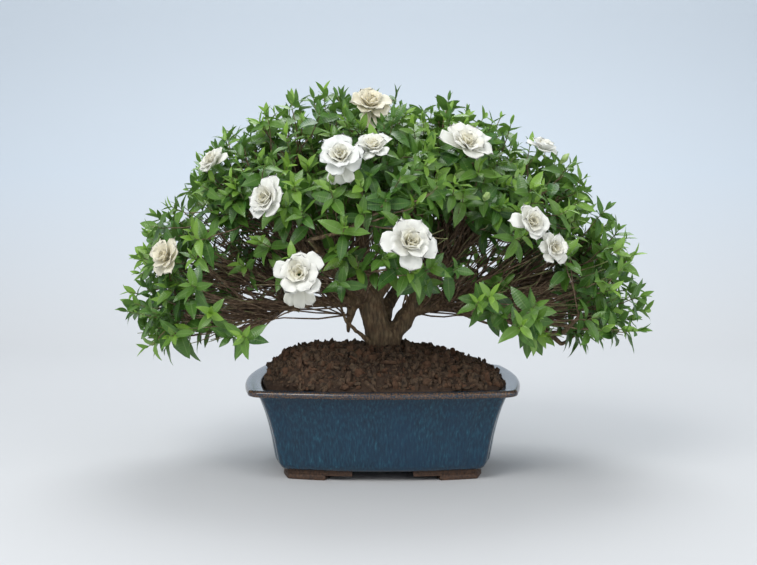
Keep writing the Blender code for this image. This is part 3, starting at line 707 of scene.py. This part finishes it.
def crumb_mesh(name, seed, long):
    """A rough lump or chip of bark with a few dozen faces."""
    bm = bmesh.new()
    bmesh.ops.create_icosphere(bm, subdivisions=1, radius=1.0)
    for v in bm.verts:
        push = 1 + 0.45 * noise.noise(v.co * 1.7 + Vector((seed, 0, 0)))
        v.co = Vector((v.co.x * long, v.co.y, v.co.z * 0.62)) * push
    mesh = bpy.data.meshes.new(name)
    bm.to_mesh(mesh)
    bm.free()
    return mesh


def on_soil(rng):
    """A random place on the mound, clear of the pot's wall."""
    while True:
        x = rng.uniform(-1, 1) * (POT_HALF_LENGTH - 22 * MM)
        y = rng.uniform(-1, 1) * (POT_HALF_DEPTH - 22 * MM)
        u = abs(x) / (POT_HALF_LENGTH - 21 * MM)
        v = abs(y) / (POT_HALF_DEPTH - 21 * MM)
        if u**5 + v**5 < 1 and math.hypot(x, y) > 14 * MM:
            x, y = x + POT_MIDDLE.x, y + POT_MIDDLE.y
            return Vector((x, y, soil_height(x, y) + crumbly(x, y)))


def make_crumbs(tree):
    rng = random.Random(21)
    lumps = [crumb_mesh(f"lump_{k}", k * 7.3, 1.0 + 0.55 * (k % 3)) for k in range(5)]
    home = source_collection("crumb_kinds", lumps)
    spots = []
    for _ in range(CRUMBS):
        size = min(rng.lognormvariate(0.62, 0.55), 5.5) * MM
        turn = [rng.uniform(0, 6.28) for _ in range(3)]
        place = on_soil(rng) + Vector((0, 0, size * 0.25))
        spots.append((place, turn, size, rng.randrange(5), {"tint": rng.random() ** 2.2}))
    finish = soil_material("soil_crumb", (0.012, 0.008, 0.005), (0.130, 0.082, 0.048))
    crumbs = scatter("soil_crumbs", tree, spots, home, finish)
    drop_sources(home)
    set_smooth(crumbs.data, False)
    return own(crumbs, "soil")


# ---- Wood ----

WOOD_VOXEL = 1.35 * MM
TRUNK_REACH = 52 * MM
TRUNK_TOP = 210 * MM


def make_wood():
    """The tree's wood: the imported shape, remade as one fine skin and roughened as bark."""
    source = frame["nodes"]["trunk_and_limbs"]
    mesh = source.data.copy()
    bm = bmesh.new()
    bm.from_mesh(mesh)
    bmesh.ops.remove_doubles(bm, verts=bm.verts[:], dist=0.00001)
    bm.to_mesh(mesh)
    bm.free()
    wood = object_from("trunk", mesh)
    skin = wood.modifiers.new("skin", "REMESH")
    skin.mode = "VOXEL"
    skin.voxel_size = WOOD_VOXEL
    relax = wood.modifiers.new("relax", "SMOOTH")
    relax.factor = 0.6
    relax.iterations = 7
    bake_modifiers(wood)
    roughen_bark(wood.data)
    wood.data.materials.clear()
    wood.data.materials.append(bark_material())
    set_smooth(wood.data, True)
    return own(wood, "bark", "trunk_and_limbs")


def roughen_bark(mesh):
    """Moves each point along its normal: deep ridges up the trunk, fine ones on limbs."""
    moved = []
    for v in mesh.vertices:
        p = v.co
        near = max(0.0, 1 - math.hypot(p.x, p.y) / TRUNK_REACH) * (1.0 if p.z < TRUNK_TOP else 0.4)
        ridge = noise.noise(Vector((p.x * 150, p.y * 150, p.z * 38)))
        knots = noise.noise(p * 55)
        fine = noise.noise(Vector((p.x * 420, p.y * 420, p.z * 160)))
        lift = (ridge * 2.4 + knots * 2.6) * near + fine * (0.30 + 0.55 * near)
        moved.append(p + v.normal * (lift + 0.25) * MM)
    for v, place in zip(mesh.vertices, moved):
        v.co = place


# ---- Twigs ----

TIPS = 1150
LONG_SHARE = 0.5
BARE_TWIGS = 520
STRAND_POINTS = 9
SWAY_APART = 17.3
FRONT_CLEARANCE = 214 * MM
END_CLEARANCE = 140 * MM
CLEARANCE_REACH = 200 * MM
TWIG_FLOOR = 168 * MM
TWIG_FREE_CORE = 24 * MM
TWIG_END_RADIUS = 0.48 * MM
INNER_TWIG_END_RADIUS = 0.4 * MM
FORK_RADII = (0.7 * MM, 0.42 * MM)
TIP_JITTER = 9
INNER_TIP_CHANCE = 0.22
# The middle zone, where leaves are sparse and the twigs show
SPARSE_BELOW = 292 * MM
SPARSE_REACH = 225 * MM
SPARSE_KEPT_FRONT = 0.30
SPARSE_KEPT_BACK = 0.55


def canopy_point(way, share):
    return CANOPY + Vector([w * r for w, r in zip(way, CANOPY_RADII)]) * share


def outward(place):
    """The dome's outward direction at place."""
    away = place - CANOPY
    return Vector([a / r**2 for a, r in zip(away, CANOPY_RADII)]).normalized()


def clearance(place):
    u = min(abs(place.x) / CLEARANCE_REACH, 1.0)
    return FRONT_CLEARANCE + (END_CLEARANCE - FRONT_CLEARANCE) * u * u * (3 - 2 * u)


def limb_spots():
    """Points along the limbs where twigs may start, always in the same order."""
    mesh = frame["nodes"]["trunk_and_limbs"].data
    spots = set()
    for edge in mesh.edges:
        a, b = sorted(tuple(mesh.vertices[i].co) for i in edge.vertices)
        for share in (0.1, 0.5, 0.9):
            p = Vector(a).lerp(Vector(b), share)
            if p.z > TWIG_FLOOR and math.hypot(p.x, p.y) > TWIG_FREE_CORE:
                spots.add(tuple(p))
    return np.array(sorted(spots))


def strand(start, end, leave, arrive, rng, wiggle):
    """Points of a twig from start to end, leaving and arriving along given directions."""
    span = (end - start).length
    tangent_0, tangent_1 = leave * span * 0.9, arrive * span * 0.8
    seed = Vector((rng.uniform(0, 50), rng.uniform(0, 50), rng.uniform(0, 50)))
    points = []
    for k in range(STRAND_POINTS):
        t = k / (STRAND_POINTS - 1)
        a, b = 2 * t**3 - 3 * t**2 + 1, t**3 - 2 * t**2 + t
        c, d = -2 * t**3 + 3 * t**2, t**3 - t**2
        p = start * a + tangent_0 * b + end * c + tangent_1 * d
        at = seed + Vector((t * 3, 0, 0))
        sway = Vector([noise.noise(at + Vector((0, 0, SWAY_APART * axis))) for axis in range(3)])
        points.append(p + sway * wiggle * math.sin(math.pi * t))
    return points


def tip_places(rng):
    """Where twigs end: spread over the dome, thick on top and thinner low at the front."""
    tips = []
    golden = math.pi * (3 - math.sqrt(5))
    for k in range(TIPS):
        height = 1 - 1.22 * (k + 0.5) / TIPS
        flat = math.sqrt(max(0.0, 1 - height * height))
        turn = k * golden
        way = Vector((flat * math.cos(turn), flat * math.sin(turn), height))
        inner = rng.random() < INNER_TIP_CHANCE
        share = rng.uniform(0.66, 0.84) if inner else rng.uniform(0.83, 0.965)
        share *= 1 + 0.055 * noise.noise(way * 5.5)
        jitter = Vector([rng.uniform(-TIP_JITTER, TIP_JITTER) * MM for _ in range(3)])
        place = canopy_point(way, share) + jitter
        if place.z < clearance(place) + 6 * MM:
            continue
        low = place.z < SPARSE_BELOW and abs(place.x) < SPARSE_REACH
        if low and rng.random() > (SPARSE_KEPT_FRONT if place.y < 0 else SPARSE_KEPT_BACK):
            continue
        tips.append(place)
    return tips


def best_start(spots, target, want, rng):
    """The limb point from which a twig of about this length runs outwards to target."""
    keep = rng.random(len(spots)) < 0.35
    near = spots[keep]
    goal = np.array(target)
    run = goal - near
    span = np.linalg.norm(run, axis=1)
    away = np.array(outward(target))
    slant = (run @ away) / np.maximum(span, 1e-6)
    cost = np.abs(span - want) + 0.11 * (1 - slant) + 0.3 * np.maximum(near[:, 2] - goal[2], 0)
    return Vector(near[int(np.argmin(cost))])


def grow_twigs():
    """Every twig as (points, radius at the start, radius at the end) and every leafy tip as (place,
    direction).
    """
    rng = random.Random(5)
    dice = np.random.default_rng(5)
    spots = limb_spots()
    strands, ends = [], []
    for place in tip_places(rng):
        up = outward(place)
        long = rng.random() < LONG_SHARE
        want = rng.uniform(95, 150) * MM if long else rng.uniform(45, 85) * MM
        start = best_start(spots, place, want, dice)
        run = (place - start).normalized()
        lean = Vector([rng.uniform(-0.35, 0.35) for _ in range(3)])
        arrive = (up * 0.55 + run * 0.7 + Vector((0, 0, 0.35)) + lean * 0.8).normalized()
        leave = (run + Vector((0, 0, -0.05)) + lean * 0.4).normalized()
        points = strand(start, place, leave, arrive, rng, 5 * MM)
        first = rng.uniform(0.95, 1.45) if long else rng.uniform(0.75, 1.1)
        strands.append((points, first * MM, TWIG_END_RADIUS))
        ends.append((place, (points[-1] - points[-2]).normalized()))
        if rng.random() < 0.35:
            k = rng.randrange(3, 6)
            side = (points[k] - points[k - 1]).normalized() + lean * 1.6
            reach = rng.uniform(22, 45) * MM
            end = points[k] + side.normalized() * reach
            if end.z > clearance(end) and share_of(end) < 0.95:
                fork = strand(points[k], end, side.normalized(), (side + up).normalized(), rng, 2 * MM)
                strands.append((fork, *FORK_RADII))
                ends.append((end, (fork[-1] - fork[-2]).normalized()))
    return strands, ends


def grow_bare_twigs():
    """Long thin inner twigs that fan out from the limbs and end among the leaves."""
    rng = random.Random(9)
    dice = np.random.default_rng(9)
    spots = limb_spots()
    strands = []
    while len(strands) < BARE_TWIGS:
        way = Vector((rng.gauss(0, 1), rng.gauss(-0.15, 1), abs(rng.gauss(0.3, 0.5)))).normalized()
        place = canopy_point(way, rng.uniform(0.68, 0.93))
        if place.z < clearance(place) + 8 * MM:
            continue
        start = best_start(spots, place, rng.uniform(80, 170) * MM, dice)
        run = (place - start).normalized()
        lean = Vector([rng.uniform(-0.2, 0.2) for _ in range(3)])
        route = strand(start, place, (run + lean).normalized(), (run + outward(place) * 0.5).normalized(),
                       rng, 6 * MM)
        strands.append((route, rng.uniform(0.7, 1.3) * MM, INNER_TWIG_END_RADIUS))
    return strands


def share_of(place):
    away = place - CANOPY
    return math.sqrt(sum((a / r) ** 2 for a, r in zip(away, CANOPY_RADII)))


def twig_tree():
    """Turns lines that carry a radius into round twigs with closed ends."""
    tree = bpy.data.node_groups.new("twigs_from_lines", "GeometryNodeTree")
    tree.interface.new_socket("Geometry", in_out="INPUT", socket_type="NodeSocketGeometry")
    tree.interface.new_socket("Sides", in_out="INPUT", socket_type="NodeSocketInt")
    tree.interface.new_socket("Finish", in_out="INPUT", socket_type="NodeSocketMaterial")
    tree.interface.new_socket("Geometry", in_out="OUTPUT", socket_type="NodeSocketGeometry")
    given, out = tree.nodes.new("NodeGroupInput"), tree.nodes.new("NodeGroupOutput")
    line = add(tree, "GeometryNodeMeshToCurve", {"Mesh": given.outputs["Geometry"]})
    thick = add(tree, "GeometryNodeInputNamedAttribute", {"Name": "thick"}, data_type="FLOAT")
    ring = add(tree, "GeometryNodeCurvePrimitiveCircle",
               {"Resolution": given.outputs["Sides"], "Radius": 1.0})
    tube = add(tree, "GeometryNodeCurveToMesh",
               {"Curve": line.outputs[0], "Profile Curve": ring.outputs[0], "Scale": thick.outputs[0],
                "Fill Caps": True})
    finished = add(tree, "GeometryNodeSetMaterial",
                   {"Geometry": tube.outputs[0], "Material": given.outputs["Finish"]})
    tree.links.new(finished.outputs[0], out.inputs[0])
    return tree


def make_twigs(name, strands, tree, finish, sides=5):
    points, lines, thick, young = [], [], [], []
    for route, first, last in strands:
        start = len(points)
        points += [tuple(p) for p in route]
        lines += [(start + k, start + k + 1) for k in range(len(route) - 1)]
        for k in range(len(route)):
            t = k / (len(route) - 1)
            thick.append(first + (last - first) * t)
            young.append(max(0.0, (t - 0.78) / 0.22) * 0.8)
    mesh = bpy.data.meshes.new(name)
    mesh.from_pydata(points, lines, [])
    mesh.attributes.new("thick", "FLOAT", "POINT").data.foreach_set("value", thick)
    mesh.attributes.new("young", "FLOAT", "POINT").data.foreach_set("value", young)
    made = object_from(name, mesh)
    nodes = made.modifiers.new("twigs", "NODES")
    nodes.node_group = tree
    set_input(nodes, tree, "Sides", sides)
    set_input(nodes, tree, "Finish", finish)
    bake_modifiers(made)
    set_smooth(made.data, True)
    return own(made, "bark")


# ---- Leaves ----

LEAF_STEPS = 6
# Name, half width, arch, fold and wave, all against the leaf's length
LEAF_KINDS = (
    ("leaf_flat", 0.200, 0.16, 0.08, 0.12),
    ("leaf_arched", 0.205, 0.34, 0.14, 0.16),
    ("leaf_young", 0.165, 0.12, 0.22, 0.06),
)
YOUNG_KIND = 2
# A rosette's pairs from the tip back: lean in degrees, length in millimetres, youth
LEAF_PAIRS = ((24, 13, 1.0), (46, 20, 0.75), (64, 26, 0.35), (78, 29, 0.15))


def leaf_mesh(name, width, arch, fold, wave):
    """A leaf of unit length along +X, its upper side to +Z, folded along its midrib."""
    bm = bmesh.new()
    uv = bm.loops.layers.uv.new("UVMap")
    rows = []
    for k in range(LEAF_STEPS + 1):
        t = k / LEAF_STEPS
        half = width * math.sin(math.pi * min(1.0, 0.06 + 0.94 * t) ** 0.82) ** 0.9 if k < LEAF_STEPS else 0
        sag = -arch * t * t
        row = []
        for side in (-1, 0, 1):
            lift = fold * abs(side) * half * 2 + wave * math.sin(t * 9 + side) * half
            x = t - arch * 0.35 * t * t
            row.append((bm.verts.new((x, side * max(half, 0.012 * (k < LEAF_STEPS)), sag + lift)),
                        (0.5 + 0.5 * side, t)))
        rows.append(row)
    for low, high in zip(rows, rows[1:]):
        for s in range(2):
            corners = [low[s], high[s], high[s + 1], low[s + 1]]
            face = bm.faces.new([c[0] for c in corners])
            for loop, corner in zip(face.loops, corners):
                loop[uv].uv = corner[1]
    bmesh.ops.recalc_face_normals(bm, faces=bm.faces[:])
    if sum(f.normal.z for f in bm.faces) < 0:
        bmesh.ops.reverse_faces(bm, faces=bm.faces[:])
    mesh = bpy.data.meshes.new(name)
    bm.to_mesh(mesh)
    bm.free()
    return mesh


def leaf_turn(direction, up, roll):
    """The euler turn that lays a leaf along direction with its face towards up."""
    x = direction.normalized()
    y = up.cross(x)
    if y.length < 1e-4:
        y = Vector((0, 1, 0)).cross(x)
    y.normalize()
    z = x.cross(y)
    turn = Matrix((x, y, z)).transposed() @ Matrix.Rotation(roll, 3, "X")
    return tuple(turn.to_euler("XYZ"))


def bloom_facts():
    """Each bloom's middle, radius and facing, read from its box."""
    facts = []
    for node in BLOOMS:
        low, high = (Vector(c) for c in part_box(node))
        size = sorted(high - low)[2] / 2
        middle = (low + high) / 2
        facts.append((middle, size, outward(middle)))
    return facts


def hides_bloom(base, tip, blooms):
    for middle, radius, front in blooms:
        for p in (base, tip, (base + tip) / 2):
            away = p - middle
            ahead = away.dot(front)
            beside = (away - front * ahead).length
            if -0.2 * radius < ahead < 60 * MM and beside < radius * 1.02:
                return True
    return False


def rosette(place, axis, rng, blooms):
    """The leaves round a twig's tip, as scatter spots: small upright ones, then larger."""
    side = axis.orthogonal().normalized()
    other = axis.cross(side)
    bright = rng.random()
    young = 0.95 if bright > 0.5 else 0.45 if bright > 0.22 else 0.15
    # Painted shade: tips deeper inside the dome give their leaves a darker colour through the shade
    # attribute.
    shade = max(0.0, min(1.0, (0.86 - share_of(place)) * 3.5))
    leaves = []
    pairs = rng.choice((3, 4, 4))
    turn = rng.uniform(0, math.pi)
    for pair, (lean, long, youth) in enumerate(LEAF_PAIRS[:pairs]):
        back = pair * rng.uniform(4.5, 9.5) * MM
        lean = math.radians(lean + rng.uniform(-18, 18))
        length = (long + rng.uniform(-5, 5)) * MM
        for half in (0, math.pi):
            around = turn + half + rng.uniform(-0.5, 0.5)
            out = side * math.cos(around) + other * math.sin(around)
            way = (axis * math.cos(lean) + out * math.sin(lean)).normalized()
            way.z -= 0.10 * pair
            base = place - axis * back
            if hides_bloom(base, base + way * length, blooms):
                continue
            tint = young * youth + rng.uniform(-0.08, 0.12)
            kind = YOUNG_KIND if pair == 0 else rng.randrange(YOUNG_KIND)
            upper = axis - out * 0.3 + Vector((0, 0, 0.25))
            leaves.append((base, leaf_turn(way, upper, rng.uniform(-0.7, 0.7)), length, kind,
                           {"tint": min(max(tint, 0.0), 1.0), "shade": shade}))
        turn += math.pi / 2
    return leaves


def make_leaves(ends, blooms, tree):
    """One piece of leaves for each foliage node, each leaf going to the nearest."""
    rng = random.Random(31)
    kinds = [leaf_mesh(*kind) for kind in LEAF_KINDS]
    home = source_collection("leaf_kinds", kinds)
    centres = {node: middle_of(node) for node in FOLIAGE}
    spots = {node: [] for node in FOLIAGE}
    for place, axis in ends:
        node = min(FOLIAGE, key=lambda n: (centres[n] - place).length)
        spots[node] += rosette(place, axis, rng, blooms)
    finish = leaf_material()
    for node in FOLIAGE:
        piece = scatter(node.replace("foliage", "leaves"), tree, spots[node], home, finish)
        own(piece, "leaf", node)
    drop_sources(home)


# ---- Blooms ----

PETAL_ROWS = 8
PETAL_THICKNESS = 0.35 * MM
BLOOM_SEAT = 0.42
CALYX_LENGTH = 15 * MM
PETAL_COLUMNS = 6
# Whorls from the outside in: petals, length and width against the bloom's radius, opening
# at the base and at the tip in degrees, cup, ruffle, heart colour, lift in millimetres
WHORLS = [
    (5, 1.16, 0.58, 56, 108, 0.14, 0.30, 0.00, 0.0),
    (5, 1.00, 0.54, 40, 84, 0.26, 0.30, 0.05, 0.8),
    (4, 0.80, 0.46, 24, 60, 0.45, 0.28, 0.35, 1.4),
    (3, 0.60, 0.36, 10, 36, 0.75, 0.26, 0.80, 1.8),
    (3, 0.44, 0.27, 2, 16, 1.00, 0.22, 1.00, 2.0),
]
# Blooms whose oldest petals hang down, and how long those are against the radius
HANGING = {"bloom_01": 1.25, "bloom_02": 1.30, "bloom_07": 1.65}


def petal_grid(length, width, open_0, open_1, cup, ruffle, seed):
    """Points of one petal in its bloom's frame: base at the axis, spreading along +X."""
    rows = []
    x, z = 1.2 * MM, 0.0
    step = length / PETAL_ROWS
    for k in range(PETAL_ROWS + 1):
        t = k / PETAL_ROWS
        angle = math.radians(open_0 + (open_1 - open_0) * t**1.3)
        half = width * (0.16 + 0.84 * t**0.6) * math.sqrt(max(0.0, 1 - t**5))
        normal = (-math.cos(angle), math.sin(angle))
        row = []
        for c in range(PETAL_COLUMNS + 1):
            u = 2 * c / PETAL_COLUMNS - 1
            lift = cup * half * u * u
            lift += ruffle * half * t * noise.noise(Vector((u * 1.5 + seed, t * 2.0, seed)))
            point_in = 0.10 * length * t**4 * (1 - abs(u)) if k == PETAL_ROWS else 0.0
            row.append(Vector((x + normal[0] * lift + math.sin(angle) * point_in, u * half,
                               z + normal[1] * lift + math.cos(angle) * point_in)))
        rows.append(row)
        x += math.sin(angle) * step
        z += math.cos(angle) * step
    return rows


def bloom_frame(front):
    side = Vector((0, 0, 1)).cross(front)
    side = side.normalized() if side.length > 0.05 else Vector((1, 0, 0))
    return Matrix((side, front.cross(side), front)).transposed()


def petal_list(node, rng):
    """Every petal of a bloom: its turn about the bloom's axis and its whorl's values."""
    petals = []
    spin = rng.uniform(0, 6.28)
    openness = rng.uniform(-12, 12)
    for count, long, wide, open_0, open_1, cup, ruffle, heart, lift in WHORLS:
        for _ in range(count):
            spin += 2 * math.pi / count + rng.uniform(-0.28, 0.28)
            petals.append((spin, long * rng.uniform(0.84, 1.12), wide * rng.uniform(0.85, 1.18),
                           open_0 + rng.uniform(-10, 10), open_1 + openness + rng.uniform(-22, 26),
                           cup * rng.uniform(0.6, 1.4), ruffle * 1.7, heart, lift))
        spin += 0.5
    if node in HANGING:
        for k in range(3):
            petals.append((-math.pi / 2 + (k - 1) * 0.42, HANGING[node] * rng.uniform(0.85, 1.0), 0.34,
                           96 + rng.uniform(-8, 8), 176 - 14 * k, 0.35, 0.8, 0.25, 0.0))
    return petals


def bloom_piece(name, node, middle, radius, front, age, finish, rng):
    """A double bloom: an outer whorl laid back, middle ones, and a spiral heart."""
    turn = bloom_frame((front + Vector([rng.uniform(-0.22, 0.22) for _ in range(3)])).normalized())
    base = middle - front * radius * BLOOM_SEAT
    points, faces, hearts, bases = [], [], [], []
    for spin, long, wide, open_0, open_1, cup, ruffle, heart, lift in petal_list(node, rng):
        grid = petal_grid(radius * long, radius * wide, open_0, open_1, cup, ruffle, rng.uniform(0, 90))
        roll = Matrix.Rotation(spin, 3, "Z")
        start = len(points)
        for r, row in enumerate(grid):
            for p in row:
                points.append(base + turn @ (roll @ p + Vector((0, 0, lift * MM))))
                hearts.append(heart * (1.0 - 0.5 * r / PETAL_ROWS))
                bases.append(max(0.0, 1 - 3.2 * r / PETAL_ROWS))
        wide_row = PETAL_COLUMNS + 1
        for r in range(PETAL_ROWS):
            for c in range(PETAL_COLUMNS):
                a = start + r * wide_row + c
                faces.append((a, a + wide_row, a + wide_row + 1, a + 1))
    made = piece_from_arrays(name, points, faces, finish, heart=hearts, base=bases,
                             age=[age] * len(points))
    wall = made.modifiers.new("thickness", "SOLIDIFY")
    wall.thickness = PETAL_THICKNESS
    bake_modifiers(made)
    return own(made, "petal", node)


def lathe(points_out, base, turn, faces, points, segments=10):
    """Adds a turned shape, (height, radius) rows, along the frame's third axis."""
    start = len(points)
    for height, radius in points_out:
        for k in range(segments):
            angle = 2 * math.pi * k / segments
            local = Vector((radius * math.cos(angle), radius * math.sin(angle), height))
            points.append(base + turn @ local)
    faces += band_faces(start, segments, len(points_out))
    faces += cap_faces(start, segments, len(points_out))


def calyx_piece(name, middle, radius, front, finish):
    """The green tube and cup that hold a bloom, and the pointed sepals round it."""
    turn = bloom_frame(front)
    base = middle - front * (radius * BLOOM_SEAT + CALYX_LENGTH)
    points, faces = [], []
    rows = [(0, 1.3), (2, 1.9), (5, 2.3), (9, 2.2), (13, 2.6), (16.5, 3.6), (17.5, 2.6)]
    lathe([(h * MM, r * MM) for h, r in rows], base, turn, faces, points)
    for k in range(6):
        roll = Matrix.Rotation(k * math.pi / 3, 3, "Z")
        sepal = [(2.2, -1.0, 8.0), (2.2, 1.0, 8.0), (4.4, 0.8, 13.5), (6.4, 0.0, 17.5), (4.4, -0.8, 13.5)]
        start = len(points)
        points += [base + turn @ (roll @ Vector(p) * MM) for p in sepal]
        faces.append(tuple(range(start, start + 5)))
    return own(piece_from_arrays(name, points, faces, finish), "bud")


def bud_piece(name, node, finish):
    """A furled bud: a twisted pointed spindle on a ribbed calyx."""
    middle = middle_of(node)
    front = outward(middle)
    turn = bloom_frame(front)
    rows = [(-6, 0.9), (-5, 1.7), (-3, 2.3), (-1, 2.8), (1, 3.3), (3, 3.2), (5, 2.6), (7, 1.7), (8.6, 0.7),
            (9.2, 0.15)]
    points, faces = [], []
    segments = 18
    for r, (height, radius) in enumerate(rows):
        for k in range(segments):
            angle = 2 * math.pi * k / segments + r * 0.16
            fold = 1 + 0.13 * math.cos(3 * (angle - r * 0.30))
            local = Vector((radius * fold * math.cos(angle), radius * fold * math.sin(angle), height)) * MM
            points.append(middle + turn @ local)
    faces = band_faces(0, segments, len(rows)) + cap_faces(0, segments, len(rows))
    return own(piece_from_arrays(name, points, faces, finish), "bud", node)


def make_blooms(blooms):
    rng = random.Random(77)
    petal = petal_material()
    green = green_material("calyx_green", (0.060, 0.150, 0.022), (0.170, 0.290, 0.060))
    bud_green = green_material("bud_green", (0.170, 0.300, 0.060), (0.420, 0.520, 0.220))
    for k, (node, (middle, radius, front)) in enumerate(zip(BLOOMS, blooms)):
        age = 0.8 if k in (0, 7) else rng.uniform(0.0, 0.25)
        label = node.split("_")[1]
        bloom_piece(f"petals_{label}", node, middle, radius, front, age, petal, rng)
        calyx_piece(f"calyx_{label}", middle, radius, front, green)
    for k, node in enumerate(BUDS):
        bud_piece(f"furled_bud_{k + 1}", node, bud_green)


# ---- Stage ----


def make_stage():
    """A pale floor that sweeps up into a pale backdrop."""
    profile = [(-4.0, 0.0), (1.0, 0.0)]
    for k in range(1, 13):
        angle = math.pi / 2 * k / 12
        profile.append((1.0 + 0.7 * math.sin(angle), 0.7 - 0.7 * math.cos(angle)))
    profile.append((1.7, 5.0))
    points, faces = [], []
    for y, z in profile:
        points += [Vector((-7, y, z)), Vector((7, y, z))]
    for k in range(len(profile) - 1):
        a = 2 * k
        faces.append((a, a + 1, a + 3, a + 2))
    made, tree, shader, place = new_material("stage")
    height = add(tree, "ShaderNodeSeparateXYZ", {0: place}).outputs["Z"]
    blend = maths(tree, "MULTIPLY", height, 3.0, clamp=True)
    feed(tree, shader, Base_Color=mix(tree, blend, (0.53, 0.53, 0.53), (0.52, 0.57, 0.62)))
    shader.inputs["Roughness"].default_value = 0.85
    piece_from_arrays("stage_sweep", points, faces, made)


def area_light(name, place, target, size, power, colour=(1, 1, 1)):
    lamp = bpy.data.lights.new(name, "AREA")
    lamp.shape = "SQUARE"
    lamp.size = size
    lamp.energy = power
    lamp.color = colour
    made = bpy.data.objects.new(name, lamp)
    made.location = place
    made.rotation_euler = (Vector(target) - Vector(place)).to_track_quat("-Z", "Y").to_euler()
    bpy.context.scene.collection.objects.link(made)


def make_lights():
    area_light("key", (-0.9, -1.6, 1.7), (0, 0, 0.22), 1.2, 37)
    area_light("fill", (1.4, -1.3, 1.0), (0, 0, 0.2), 1.4, 12)
    area_light("window", (0.1, 1.1, 2.1), (0, 0, 0.3), 1.4, 30, (0.95, 0.98, 1.0))
    world = bpy.data.worlds.new("room")
    world.use_nodes = True
    bpy.context.scene.world = world
    back = world.node_tree.nodes["Background"]
    back.inputs["Color"].default_value = (0.86, 0.92, 1.0, 1)
    back.inputs["Strength"].default_value = 0.72


def make_camera():
    """Eye level a little over the rim, from straight in front."""
    lens = bpy.data.cameras.new("camera")
    lens.sensor_width = 36.0
    lens.lens = 64.4
    made = bpy.data.objects.new("camera", lens)
    made.location = (-4.5 * MM, -1.49, 0.318)
    made.rotation_euler = (math.radians(90 - 4.35), 0, 0)
    bpy.context.scene.collection.objects.link(made)
    bpy.context.scene.camera = made


def main():
    scene = bpy.context.scene
    scene.view_settings.view_transform = "Standard"
    make_camera()
    make_lights()
    make_stage()
    make_pot()
    for node in ("drain_screen_left", "drain_screen_right"):
        frame["nodes"][node].material_slots[0].material = SCREEN
    for node in ("screen_clip_left", "screen_clip_right"):
        frame["nodes"][node].material_slots[0].material = WIRE
    scattering = scatter_tree("scatter")
    make_soil_bed()
    make_crumbs(scattering)
    make_wood()
    strands, ends = grow_twigs()
    blooms = bloom_facts()
    twigs, bark = twig_tree(), twig_material()
    make_twigs("twigs", strands, twigs, bark)
    make_twigs("inner_twigs", grow_bare_twigs(), twigs, bark)
    make_leaves(ends, blooms, scattering)
    make_blooms(blooms)


SCREEN = screen_material()
WIRE = wire_material()
main()
